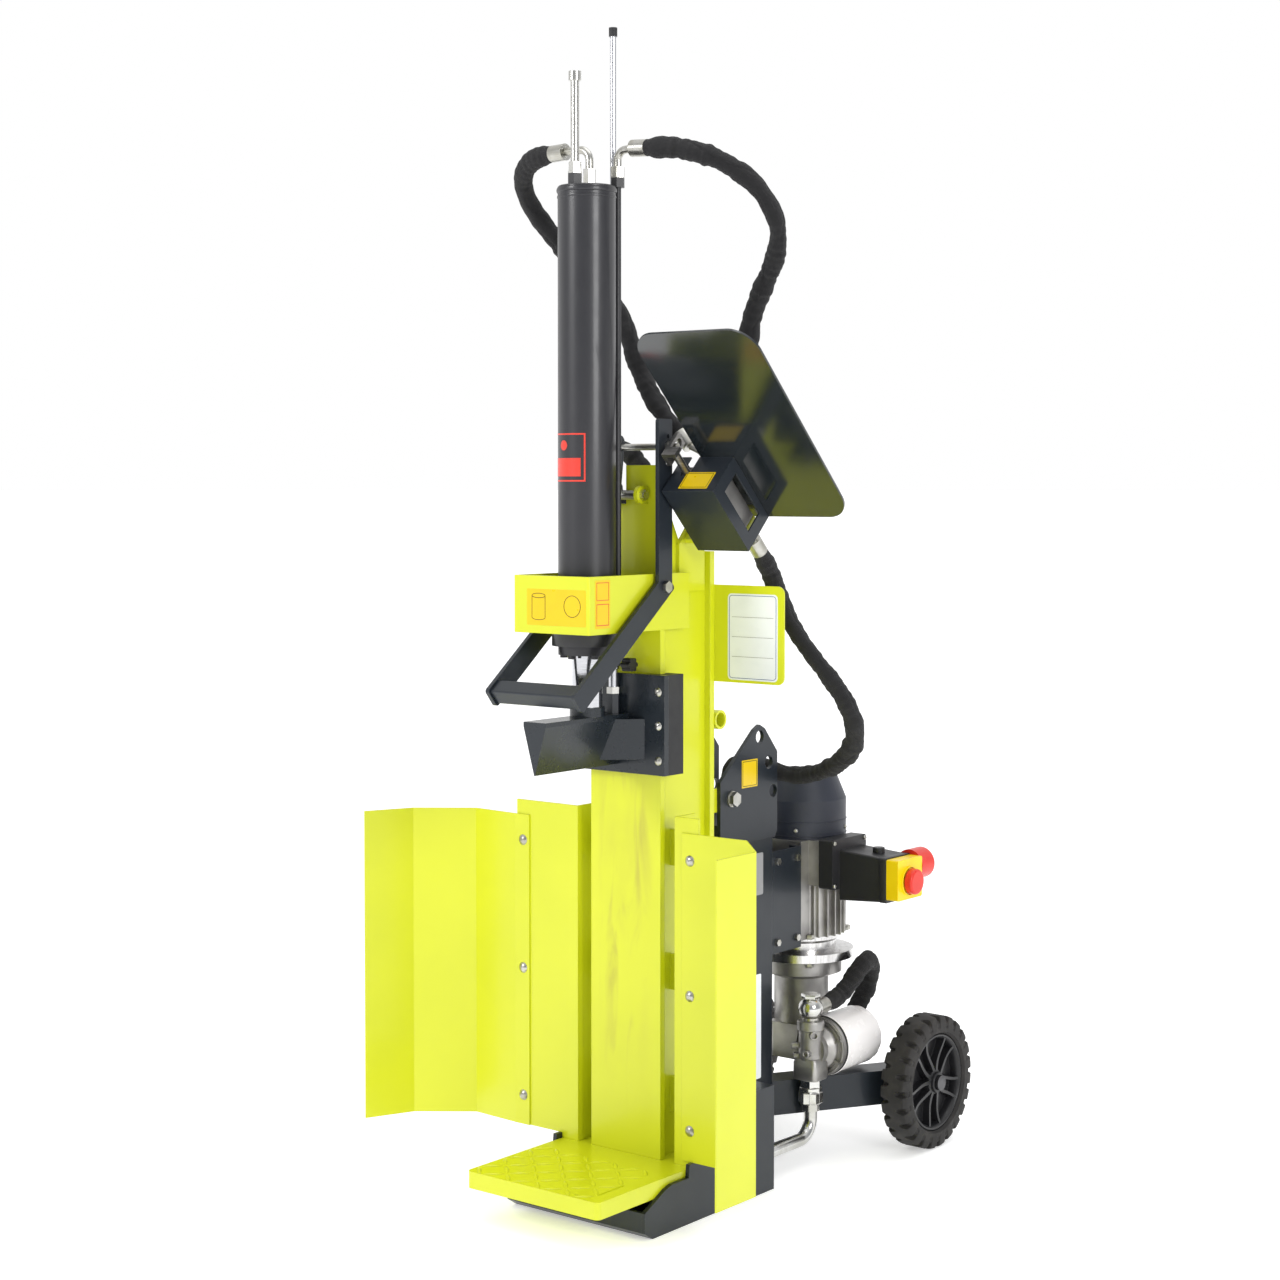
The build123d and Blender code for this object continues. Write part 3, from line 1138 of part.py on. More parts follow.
SUCTION_Z = 52
PIPE_R = 13
with BuildPart() as suction_pipe:
    add(hexagon(36, (FILTER_X, HEAD_Y, HEAD_Z[0]), (FILTER_X, HEAD_Y, 116)))
    add(pipe(PIPE_R, ((FILTER_X, HEAD_Y, 118), (FILTER_X, HEAD_Y, SUCTION_Z),
                      (FILTER_X, FOOT_REAR, SUCTION_Z)), 38))
    add(hexagon(34, (FILTER_X, FOOT_REAR, SUCTION_Z), (FILTER_X, FOOT_REAR + 30, SUCTION_Z)))
suction_pipe.part.label = "suction_pipe"
export_step(suction_pipe.part, "parts/suction_pipe.step")

# --- Hoses and their fittings -------------------------------------------------------
# Each hose is a list of points; its ends meet the ferrules face to face.
HOSE_A = (
    (96, -58, 1887), (140, -56, 1885), (181, -45, 1877), (221, -28, 1862), (254, -5, 1840),
    (278, 18, 1812), (292, 40, 1778), (291, 61, 1743), (274, 82, 1709), (246, 100, 1676),
    (216, 115, 1643), (189, 128, 1608), (170, 141, 1570), (159, 153, 1528), (156, 163, 1484),
    (157, 168, 1440), (161, 166, 1398), uw(165, -850, 1070), uw(165, -850, 1035))
HOSE_B = (
    (-98, -85, 1890), (-130, -84, 1889), (-163, -77, 1879), (-189, -63, 1858), (-198, -44, 1830),
    (-194, -25, 1802), (-181, -7, 1773), (-162, 10, 1742), (-136, 22, 1710), (-103, 30, 1678),
    (-70, 34, 1645), (-42, 36, 1608), (-21, 37, 1568), (-5, 38, 1528), (12, 39, 1489),
    (33, 41, 1453), (60, 44, 1420), (88, 46, 1393))
HOSE_C = (
    uw(180, -720, 950), uw(180, -688, 950), (183, 205, 1122), (193, 217, 1082), (210, 226, 1042),
    (233, 238, 1003), (260, 252, 965), (284, 270, 925), (294, 294, 882), (283, 322, 842),
    (254, 348, 809), (215, 370, 783), (172, 387, 764), (130, 398, 752), (90, 404, 746),
    (54, 401, 750), (25, 385, 760), (8, 358, 768), (0, 333, 764), (0, 321, 742), (0, 320, 718))
HOSE_D = (
    (FILTER_X, 470, 298), (119, 502, 301), (125, 533, 319), (132, 563, 350), (133, 594, 366),
    (124, 624, 360), (108, 648, 334), (90, 664, 300), (70, 670, 266), (53, 668, 234),
    (42, 658, 212), (36, 637, 204))
HOSE_E = (
    uw(78, *PORT_E), uw(46, *PORT_E), (14, 60, 1298), (-16, 72, 1326), (-48, 80, 1356),
    (-84, 87, 1370), (-114, 98, 1352), (-127, 112, 1314), (-124, 128, 1270), (-118, 144, 1222),
    (-114, 160, 1170), (-110, 176, 1116), (-108, 192, 1060), (-107, 206, 1000), (-107, 218, 936),
    (-106, 229, 868), (-103, 239, 796), (-101, 249, 722), (-103, 261, 646), (-106, 275, 570),
    (-105, 291, 496), (-102, 310, 426), (-102, 332, 362), (-104, 362, 306), (-107, 400, 262),
    (-111, 442, 234), (-116, 484, 220), (-116, 522, 212), (-104, 548, 206), (-78, 556, 203))
FERRULE_L = 32


def corner_radii(points):
    """Arc radius at each inner point: as large as its two runs allow."""
    radii = []
    for before, here, after in zip(points, points[1:], points[2:]):
        run_in = Vector(*here) - Vector(*before)
        run_out = Vector(*after) - Vector(*here)
        half_turn = math.radians(run_in.get_angle(run_out)) / 2
        radii.append(0.45 * min(run_in.length, run_out.length) / math.tan(half_turn))
    return radii


def hose(name, points):
    """Round hose along its points."""
    radii = corner_radii(points)
    with BuildPart() as tube:
        with BuildLine() as route:
            FilletPolyline(*points, radius=radii)
        with BuildSketch(Plane(origin=points[0], z_dir=route.line % 0)):
            Circle(HOSE_R)
        sweep()
    tube.part.label = name
    length = route.wires()[0].length
    expected = math.pi * HOSE_R ** 2 * length
    print(name, "length", round(length), "radii", [round(r) for r in radii],
          "volume ratio", round(tube.part.volume / expected, 4))
    return tube.part


def ferrule(points, end):
    """Crimped sleeve in line with a hose end."""
    first, second = (points[0], points[1]) if end == 0 else (points[-1], points[-2])
    out = (Vector(*first) - Vector(*second)).normalized()
    tip = Vector(*first) + out * FERRULE_L
    return rod(FERRULE_R, first, tuple(tip)), tip


export_step(hose("hose_a", HOSE_A), "parts/hose_a.step")
export_step(hose("hose_b", HOSE_B), "parts/hose_b.step")
export_step(hose("hose_c", HOSE_C), "parts/hose_c.step")
export_step(hose("hose_d", HOSE_D), "parts/hose_d.step")
export_step(hose("hose_e", HOSE_E), "parts/hose_e.step")

# right elbow on the feed pipe
sleeve, tip = ferrule(HOSE_A, 0)
with BuildPart() as elbow_right:
    add(hexagon(22, (FEED_AT, FEED_Y, 1840), (FEED_AT, FEED_Y, 1859)))
    add(pipe(7, ((FEED_AT, FEED_Y, 1858), (FEED_AT, FEED_Y, 1887), tuple(tip)), 18))
    add(sleeve)
# left elbow on the cap
CAP_PORT = (-12, -85)
sleeve, tip = ferrule(HOSE_B, 0)
with BuildPart() as elbow_left:
    add(hexagon(20, (*CAP_PORT, CYL_TOP), (*CAP_PORT, 1856)))
    add(pipe(7, ((*CAP_PORT, 1855), (*CAP_PORT, tip.Z), tuple(tip)), 20))
    add(sleeve)
sleeve, tip = ferrule(HOSE_A, -1)
with BuildPart() as joint_a:
    add(sleeve)
    add(rod(9, uw(*PORT_A, VALVE_W[1]), tuple(tip)))
sleeve, tip = ferrule(HOSE_B, -1)
with BuildPart() as joint_b:
    add(sleeve)
    add(pipe(7, (tuple(tip), uw(PORT_B[0], -925, 1001), uw(*PORT_B, 1001),
                 uw(*PORT_B, VALVE_W[1])), 12))
sleeve, tip = ferrule(HOSE_C, 0)
with BuildPart() as joint_c:
    add(sleeve)
    add(rod(9, uw(PORT_C[0], VALVE_U[1], PORT_C[1]), tuple(tip)))
sleeve, tip = ferrule(HOSE_C, -1)
with BuildPart() as joint_tank:
    add(sleeve)
    add(hexagon(30, (0, 320, TANK_TOP + 12), (0, 320, TANK_TOP)))
    add(rod(8.5, (0, 320, TANK_TOP), (0, 320, TANK_TOP - 20)))
# banjo on the filter head
sleeve, tip = ferrule(HOSE_D, 0)
with BuildPart() as banjo:
    add(rod(16, (FILTER_X, HEAD_Y, HEAD_Z[1]), (FILTER_X, HEAD_Y, HEAD_Z[1] + 6)))
    with Locations((FILTER_X, HEAD_Y, 298)):
        Sphere(18)
    add(hexagon(26, (FILTER_X, HEAD_Y, 312), (FILTER_X, HEAD_Y, 326)))
    add(sleeve)
    add(rod(10, (FILTER_X, HEAD_Y, 298), tuple(tip)))
sleeve, tip = ferrule(HOSE_D, -1)
with BuildPart() as pump_joint_d:
    add(sleeve)
    add(rod(9, tuple(tip), (tip.X, MOTOR_Y + 40, tip.Z)))
sleeve, tip = ferrule(HOSE_E, 0)
with BuildPart() as joint_e:
    add(sleeve)
    add(rod(9, (VALVE_X[0], *uw(0, *PORT_E)[1:]), tuple(tip)))
sleeve, tip = ferrule(HOSE_E, -1)
with BuildPart() as pump_joint_e:
    add(sleeve)
    add(rod(9, tuple(tip), (-PUMP_W / 2, tip.Y, tip.Z)))
hose_fittings = group(
    elbow_right.part, elbow_left.part, joint_a.part, joint_b.part, joint_c.part, joint_tank.part,
    banjo.part, pump_joint_d.part, joint_e.part, pump_joint_e.part)
hose_fittings.label = "hose_fittings"
export_step(hose_fittings, "parts/hose_fittings.step")
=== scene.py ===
"""Looks of an upright hydraulic log splitter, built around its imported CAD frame.

Every length is in metres and every piece stands in the CAD frame: +Z up, the log side towards -Y.
"""

import logging
import math
from dataclasses import dataclass, field
from enum import Enum

import bmesh
import bpy
import numpy as np
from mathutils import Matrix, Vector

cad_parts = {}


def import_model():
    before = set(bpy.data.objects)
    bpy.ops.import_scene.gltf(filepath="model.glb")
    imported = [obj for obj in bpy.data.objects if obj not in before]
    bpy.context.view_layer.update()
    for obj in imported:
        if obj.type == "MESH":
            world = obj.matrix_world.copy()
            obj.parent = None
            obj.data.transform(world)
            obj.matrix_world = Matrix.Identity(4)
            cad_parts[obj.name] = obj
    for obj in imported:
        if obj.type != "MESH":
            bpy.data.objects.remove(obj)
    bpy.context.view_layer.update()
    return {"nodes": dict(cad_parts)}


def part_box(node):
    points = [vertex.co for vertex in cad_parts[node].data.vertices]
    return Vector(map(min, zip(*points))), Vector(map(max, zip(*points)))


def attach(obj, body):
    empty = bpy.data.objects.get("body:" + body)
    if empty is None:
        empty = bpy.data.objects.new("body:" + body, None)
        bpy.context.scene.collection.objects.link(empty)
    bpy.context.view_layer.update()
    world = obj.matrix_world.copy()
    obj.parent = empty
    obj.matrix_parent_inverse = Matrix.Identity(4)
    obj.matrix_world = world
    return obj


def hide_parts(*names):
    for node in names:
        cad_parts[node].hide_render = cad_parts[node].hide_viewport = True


log = logging.getLogger("log_splitter")
MM = 0.001
ROOT2 = math.sqrt(2)
EAST, NORTH, UP = (1, 0, 0), (0, 1, 0), (0, 0, 1)


def srgb(red: float, green: float, blue: float) -> tuple:
    """Turns 0-255 display colour into the linear colour with alpha that shaders take.

    Args:
        red: display red, 0 to 255.
        green: display green.
        blue: display blue.

    Returns:
        Linear red, green, blue and an alpha of 1.
    """
    share = np.array([red, green, blue]) / 255
    linear = np.where(share <= 0.04045, share / 12.92, ((share + 0.055) / 1.055) ** 2.4)
    return (*linear.tolist(), 1.0)


def valve_point(x: float, u: float, w: float) -> tuple:
    """Point in millimetres of the valve group's tilted frame: u runs down and back, w up and back."""
    return (x, (w + u) / ROOT2, (w - u) / ROOT2)


# --- shader expressions ------------------------------------------------------------------


class Wire:
    """A shader output that takes part in Python expressions; each operator adds one Math node."""

    def __init__(self, graph: "Graph", socket) -> None:
        """Wraps one output socket of a graph."""
        self.graph, self.socket = graph, socket

    def _math(self, operation: str, *values) -> "Wire":
        """Adds a Math node on these values and returns its output."""
        return self.graph.add("Math", {"operation": operation}, dict(enumerate(values)))

    def __add__(self, other) -> "Wire":
        """Sum."""
        return self._math("ADD", self, other)

    def __radd__(self, other) -> "Wire":
        """Sum with a number on the left."""
        return self._math("ADD", other, self)

    def __sub__(self, other) -> "Wire":
        """Difference."""
        return self._math("SUBTRACT", self, other)

    def __rsub__(self, other) -> "Wire":
        """Difference with a number on the left."""
        return self._math("SUBTRACT", other, self)

    def __mul__(self, other) -> "Wire":
        """Product."""
        return self._math("MULTIPLY", self, other)

    def __rmul__(self, other) -> "Wire":
        """Product with a number on the left."""
        return self._math("MULTIPLY", other, self)

    def __abs__(self) -> "Wire":
        """Size without sign."""
        return self._math("ABSOLUTE", self)

    def sine(self) -> "Wire":
        """Sine of the value in radians."""
        return self._math("SINE", self)

    def rise(self, low: float, high: float) -> "Wire":
        """Smooth step: 0 below low, 1 above high, and 1 minus that when high is the smaller."""
        bounds = {1: low, 2: high, 3: 0.0, 4: 1.0} if low < high else {1: high, 2: low, 3: 1.0, 4: 0.0}
        return self.graph.add("MapRange", {"interpolation_type": "SMOOTHSTEP"}, {0: self, **bounds})


class Graph:
    """One material's node tree, with the object's own coordinates ready as wires."""

    def __init__(self, name: str, tree=None) -> None:
        """Starts an empty material of that name, or empties a given tree."""
        self.material = None
        if tree is None:
            self.material = bpy.data.materials.new(name)
            self.material.use_nodes = True
        self.tree = tree or self.material.node_tree
        self.tree.nodes.clear()
        self.place = self.add("TexCoord", {}, {}, "Object")
        split = self.node("SeparateXYZ", {}, {0: self.place})
        self.x, self.y, self.z = (Wire(self, split.outputs[i]) for i in range(3))

    def node(self, kind: str, settings: dict, inputs: dict):
        """Adds a shader node.

        Args:
            kind: node type without its ShaderNode prefix.
            settings: attributes set first.
            inputs: socket number or name to a value or a Wire.

        Returns:
            The new node.
        """
        made = self.tree.nodes.new("ShaderNode" + kind)
        for key, value in settings.items():
            setattr(made, key, value)
        for key, value in inputs.items():
            if isinstance(value, Wire):
                self.tree.links.new(value.socket, made.inputs[key])
            else:
                made.inputs[key].default_value = value
        return made

    def add(self, kind: str, settings: dict, inputs: dict, output=0) -> Wire:
        """Adds a node and returns one of its outputs as a Wire."""
        return Wire(self, self.node(kind, settings, inputs).outputs[output])

    def noise(self, scale: float, detail: float = 3.0, stretch: tuple = None, distortion: float = 0.0) -> Wire:
        """Noise from 0 to 1 on object coordinates.

        Args:
            scale: cells per metre.
            detail: octaves.
            stretch: scale factors along X, Y and Z, for grain.
            distortion: how far the pattern is warped.

        Returns:
            The noise value.
        """
        place = self.place
        if stretch:
            place = self.add("Mapping", {}, {"Vector": place, "Scale": stretch})
        return self.add("TexNoise", {}, {
            "Vector": place, "Scale": scale, "Detail": detail, "Distortion": distortion})

    def blend(self, factor, first, second) -> Wire:
        """Mixes two colours: first at factor 0, second at 1."""
        return self.add("Mix", {"data_type": "RGBA"}, {0: factor, 6: first, 7: second}, 2)

    def rounded(self, radius: float) -> Wire:
        """Normal with small rounded edges."""
        return self.add("Bevel", {"samples": 4}, {"Radius": radius})

    def edges(self, normal: Wire) -> Wire:
        """1 on edges that the rounded normal turns over, 0 on flat faces."""
        flat = self.add("NewGeometry", {}, {}, "Normal")
        alike = self.add("VectorMath", {"operation": "DOT_PRODUCT"}, {0: normal, 1: flat}, "Value")
        return (1.0 - alike).rise(0.004, 0.09)

    def bump(self, height: Wire, depth: float, normal: Wire = None) -> Wire:
        """Normal of a height field that is depth metres high where height is 1."""
        inputs = {"Height": height, "Distance": depth, "Strength": 1.0}
        if normal is not None:
            inputs["Normal"] = normal
        return self.add("Bump", {}, inputs)

    def finish(self, **sockets):
        """Closes the material with one Principled shader.

        Args:
            sockets: Principled inputs, with underscores for spaces.

        Returns:
            The finished material.
        """
        named = {key.replace("_", " "): value for key, value in sockets.items()}
        shader = self.add("BsdfPrincipled", {}, named)
        self.node("OutputMaterial", {}, {0: shader})
        return self.material


# --- finishes ----------------------------------------------------------------------------


@dataclass(frozen=True)
class PowderCoat:
    """Baked powder paint on steel: a fine orange peel, faint dust and slightly thin edges."""

    name: str
    colour: tuple
    shade: tuple
    roughness: float = 0.34
    coat: float = 0.25
    peel: float = 0.00006
    edge: tuple = None
    radius: float = 0.0012
    shine: float = 0.5

    def build(self):
        """Makes the material.

        Returns:
            The paint.
        """
        g = Graph(self.name)
        drift = g.noise(3.2, 4)
        colour = g.blend(drift.rise(0.38, 0.72), self.colour, self.shade)
        round_normal = g.rounded(self.radius)
        rim = g.edges(round_normal)
        if self.edge:
            nicks = g.noise(160, 2).rise(0.56, 0.66)
            colour = g.blend(rim * nicks * 0.5, colour, self.edge)
        peel = g.noise(620, 2) + g.noise(170, 2) * 0.6
        rough = self.roughness + (g.noise(24, 4) - 0.5) * 0.16
        return g.finish(
            Base_Color=colour, Roughness=rough, Normal=g.bump(peel, self.peel, round_normal),
            Coat_Weight=self.coat, Coat_Roughness=0.12, Specular_IOR_Level=self.shine)


@dataclass(frozen=True)
class Zones:
    """One bar of several finishes, stacked along Z: each zone starts at a height and runs up to the next."""

    name: str
    zones: tuple

    def build(self):
        """Makes the material from (start height, colour, metallic, roughness) zones.

        Returns:
            The stacked finish.
        """
        g = Graph(self.name)
        _, colour, metallic, rough = self.zones[0]
        for start, next_colour, next_metallic, next_rough in self.zones[1:]:
            step = g.z.rise(start - 0.0003, start + 0.0003)
            colour = g.blend(step, colour, next_colour)
            metallic = metallic + (next_metallic - metallic) * step
            rough = rough + (next_rough - rough) * step
        wander = g.noise(60, 3, (1, 1, 8)) - 0.5
        return g.finish(
            Base_Color=colour, Metallic=metallic, Roughness=rough + wander * 0.05,
            Normal=g.bump(g.noise(400, 2), 0.000004, g.rounded(0.0006)))


@dataclass(frozen=True)
class ColumnPaint:
    """The column's lime paint with brown rub marks of logs on its front face."""

    name: str
    colour: tuple
    shade: tuple
    wood: tuple

    def build(self):
        """Makes the material; the rubs lie on the front face only, between the table and the wedge.

        Returns:
            The paint.
        """
        g = Graph(self.name)
        colour = g.blend(g.noise(3.2, 4).rise(0.38, 0.72), self.colour, self.shade)
        front = g.y.rise(0.004, 0.0015)
        middle = abs(g.x).rise(0.074, 0.03)
        height = g.z.rise(0.12, 0.4) * g.z.rise(1.02, 0.74)
        streaks = g.noise(26, 5, (1.0, 1.0, 0.16), 0.8).rise(0.5, 0.74)
        cloud = g.noise(7, 4, (1.0, 1.0, 0.5)).rise(0.42, 0.66)
        rub = front * middle * height * (streaks * 0.5 + cloud * 0.22)
        colour = g.blend(rub, colour, self.wood)
        tracks = abs(abs(g.x) - 0.0745).rise(0.0055, 0.003) * front
        ways = tracks * g.z.rise(0.3, 0.7) * g.noise(40, 4, (1, 1, 0.06)).rise(0.5, 0.66)
        colour = g.blend(ways * 0.4, colour, self.shade)
        rough = 0.34 + (g.noise(24, 4) - 0.5) * 0.16 + rub * 0.3
        peel = g.noise(620, 2) + g.noise(170, 2) * 0.6 + rub * 0.5
        return g.finish(
            Base_Color=colour, Roughness=rough, Normal=g.bump(peel, 0.00006, g.rounded(0.002)),
            Coat_Weight=0.2, Coat_Roughness=0.14)


class Grain(Enum):
    """How a bare metal was worked."""

    TURNED = "turned"
    CAST = "cast"
    PLATED = "plated"
    BRUSHED = "brushed"


@dataclass(frozen=True)
class Metal:
    """Bare metal: its grain sets the bump and how the roughness wanders."""

    name: str
    colour: tuple
    shade: tuple
    grain: Grain
    roughness: float

    def build(self):
        """Makes the material.

        Returns:
            The metal.
        """
        g = Graph(self.name)
        if self.grain is Grain.CAST:
            height, depth = g.noise(520, 4) + g.noise(90, 3), 0.00022
            wander = g.noise(18, 4)
        elif self.grain is Grain.TURNED:
            height, depth = g.noise(60, 2, (1, 1, 60)), 0.000002
            wander = g.noise(30, 3, (1, 1, 14))
        elif self.grain is Grain.BRUSHED:
            height, depth = g.noise(60, 2, (30, 30, 1)), 0.00003
            wander = g.noise(20, 3, (8, 8, 1))
        else:
            height, depth = g.noise(240, 2), 0.00002
            wander = g.noise(34, 4)
        colour = g.blend(wander.rise(0.35, 0.7), self.colour, self.shade)
        rough = self.roughness + (wander - 0.5) * 0.22
        return g.finish(
            Base_Color=colour, Metallic=1.0, Roughness=rough,
            Normal=g.bump(height, depth, g.rounded(0.0006)))


@dataclass(frozen=True)
class Moulding:
    """Moulded plastic or rubber with a fine spark-eroded grain."""

    name: str
    colour: tuple
    shade: tuple
    roughness: float = 0.5
    depth: float = 0.00009
    scale: float = 900.0
    radius: float = 0.0009
    dust: float = 0.0

    def build(self):
        """Makes the material.

        Returns:
            The plastic.
        """
        g = Graph(self.name)
        colour = g.blend(g.noise(9, 4).rise(0.35, 0.7), self.colour, self.shade)
        if self.dust:
            colour = g.blend(g.noise(38, 5).rise(0.45, 0.75) * self.dust, colour, srgb(128, 122, 114))
        rough = self.roughness + (g.noise(46, 3) - 0.5) * 0.14
        return g.finish(
            Base_Color=colour, Roughness=rough, Specular_IOR_Level=0.45,
            Normal=g.bump(g.noise(self.scale, 2), self.depth, g.rounded(self.radius)))


@dataclass(frozen=True)
class Textile:
    """Woven protective sleeve: two thread directions on the piece's own UV map, over soft creases with painted
    shade in their hollows.
    """

    name: str
    colour: tuple
    thread: tuple
    pitch: float = 0.0016

    def build(self):
        """Makes the material; U runs along the hose and V round it, both in metres.

        Returns:
            The fabric.
        """
        g = Graph(self.name)
        uv = g.add("UVMap", {"uv_map": "cloth"}, {})
        split = g.node("SeparateXYZ", {}, {0: uv})
        along, around = (Wire(g, split.outputs[i]) * (math.tau / self.pitch) for i in range(2))
        weave = (along + around).sine() * (along - around).sine()
        creases = g.noise(95, 4)
        # The crease height also makes the colour lighter on the crests and darker in the hollows: painted shade in
        # the crease hollows.
        colour = g.blend(weave.rise(-0.6, 0.9) * 0.6 + creases * 0.25, self.colour, self.thread)
        height = weave * 0.5 + creases * 2.2
        return g.finish(
            Base_Color=colour, Roughness=0.86, Sheen_Weight=0.08, Sheen_Roughness=0.5,
            Specular_IOR_Level=0.3, Normal=g.bump(height, 0.0005))


@dataclass(frozen=True)
class Sticker:
    """Printed film with plain areas and no lettering: a ground colour and soft handling marks."""

    name: str
    colour: tuple
    shade: tuple
    gloss: float = 0.3

    def build(self):
        """Makes the material.

        Returns:
            The film.
        """
        g = Graph(self.name)
        colour = g.blend(g.noise(30, 4).rise(0.4, 0.75) * 0.5, self.colour, self.shade)
        rough = self.gloss + (g.noise(60, 3) - 0.5) * 0.12
        return g.finish(Base_Color=colour, Roughness=rough, Normal=g.bump(g.noise(140, 3), 0.00004))


LIME = srgb(213, 218, 30)
LIME_SHADE = srgb(206, 212, 26)
ANTHRACITE = srgb(31, 37, 44)
ANTHRACITE_SHADE = srgb(26, 32, 39)

FINISHES = (
    PowderCoat("lime_paint", LIME, LIME_SHADE),
    ColumnPaint("column_paint", LIME, LIME_SHADE, srgb(160, 142, 66)),
    PowderCoat("anthracite_paint", ANTHRACITE, ANTHRACITE_SHADE, 0.36, 0.12, edge=srgb(96, 100, 104), shine=0.38),
    PowderCoat("shield_paint", srgb(28, 33, 36), srgb(25, 30, 33), 0.12, 0.8, 0.00001),
    PowderCoat("wedge_paint", srgb(30, 36, 42), srgb(25, 31, 37), 0.28, 0.2, 0.00009, srgb(130, 130, 128),
               shine=0.4),
    PowderCoat("cylinder_enamel", srgb(40, 40, 44), srgb(36, 36, 40), 0.36, 0.2, 0.00003),
    Metal("chrome", srgb(214, 215, 219), srgb(205, 206, 210), Grain.TURNED, 0.12),
    Metal("zinc_plate", srgb(192, 191, 186), srgb(166, 164, 154), Grain.PLATED, 0.3),
    Metal("bright_zinc", srgb(208, 208, 206), srgb(190, 189, 184), Grain.PLATED, 0.2),
    Zones("stroke_rod_finish", (
        (0.0, ANTHRACITE, 0.0, 0.4), (0.930, srgb(192, 191, 186), 1.0, 0.3),
        (0.942, srgb(205, 206, 210), 1.0, 0.16), (2.093, srgb(34, 34, 36), 0.0, 0.6))),
    Zones("cylinder_pipe_finish", ((0.0, srgb(40, 40, 43), 0.0, 0.4), (1.842, srgb(192, 191, 186), 1.0, 0.28))),
    Metal("axle_steel", srgb(96, 96, 98), srgb(74, 74, 76), Grain.PLATED, 0.42),
    Metal("raw_steel", srgb(150, 148, 145), srgb(120, 118, 116), Grain.TURNED, 0.36),
    Metal("cast_aluminium", srgb(178, 176, 173), srgb(150, 148, 146), Grain.CAST, 0.44),
    Metal("cut_aluminium", srgb(214, 213, 212), srgb(190, 189, 188), Grain.BRUSHED, 0.24),
    Moulding("black_plastic", srgb(38, 38, 40), srgb(32, 32, 34), 0.42),
    Moulding("cowl_plastic", srgb(40, 44, 56), srgb(34, 38, 49), 0.46, 0.00012),
    Moulding("nylon", srgb(36, 36, 38), srgb(46, 46, 47), 0.6),
    Moulding("yellow_plastic", srgb(248, 214, 4), srgb(242, 205, 3), 0.34),
    Moulding("red_plastic", srgb(226, 52, 38), srgb(212, 44, 32), 0.3),
    Moulding("green_plastic", srgb(24, 120, 60), srgb(20, 108, 54), 0.34),
    Moulding("tyre_rubber", srgb(44, 42, 41), srgb(35, 34, 33), 0.74, 0.0002, 420.0, 0.0012, 0.08),
    Moulding("rim_plastic", srgb(34, 34, 36), srgb(28, 28, 30), 0.36, 0.00005),
    Moulding("canister_enamel", srgb(252, 249, 248), srgb(247, 244, 243), 0.26, 0.00003, 300.0),
    Textile("sleeve_textile", srgb(20, 20, 21), srgb(46, 45, 47)),
    Sticker("yellow_film", srgb(230, 195, 0), srgb(222, 187, 0)),
    Sticker("white_film", srgb(238, 241, 245), srgb(228, 232, 237)),
    Sticker("red_film", srgb(220, 62, 48), srgb(206, 52, 40)),
    Sticker("dark_film", srgb(52, 42, 18), srgb(58, 48, 22)),
    Sticker("blue_film", srgb(40, 84, 150), srgb(34, 76, 140)),
    Sticker("silver_film", srgb(150, 150, 152), srgb(130, 130, 132), 0.4),
)

NODE_FINISH = {
    "column_paint": ("column_beam",),
    "lime_paint": ("base_plate", "collar", "column_plates", "guard_left", "guard_right", "guard_wings",
                   "info_plate", "lift_tube"),
    "anthracite_paint": ("foot_frame", "oil_tank", "lifting_ears", "rear_legs", "motor_bracket", "lever_arms",
                         "handle_bar", "valve_box", "stop_lever"),
    "shield_paint": ("shield",),
    "wedge_paint": ("wedge", "slide_plate"),
    "cylinder_enamel": ("cylinder_tube", "cylinder_ends"),
    "chrome": ("piston_rod",),
    "stroke_rod_finish": ("stroke_rod",),
    "cylinder_pipe_finish": ("cylinder_pipes",),
    "zinc_plate": ("cross_rod", "ear_bolts", "guard_bolts", "hose_fittings", "lever_pivots", "slide_bolts"),
    "bright_zinc": ("suction_pipe",),
    "axle_steel": ("axles",),
    "raw_steel": ("motor_rotor", "valve_spool"),
    "cast_aluminium": ("motor_body", "pump_body", "filter_head", "valve_body", "bell_housing"),
    "cut_aluminium": ("motor_flange",),
    "cowl_plastic": ("motor_cowl",),
    "black_plastic": ("terminal_box", "clamp_knob"),
    "nylon": ("guide_pads",),
    "yellow_plastic": ("switch_cover",),
    "red_plastic": ("stop_button", "power_inlet"),
    "green_plastic": ("start_button",),
}


class Palette:
    """All finishes by name, built once."""

    def __init__(self) -> None:
        """Builds every finish."""
        self.made = {finish.name: finish.build() for finish in FINISHES}

    def dress(self, piece, name: str) -> None:
        """Gives a piece one finish."""
        piece.data.materials.clear()
        piece.data.materials.append(self.made[name])

    def dress_frame(self, nodes: dict) -> None:
        """Gives every CAD node that stays visible its finish."""
        for name, members in NODE_FINISH.items():
            for member in members:
                self.dress(nodes[member], name)


# --- surfaces ----------------------------------------------------------------------------


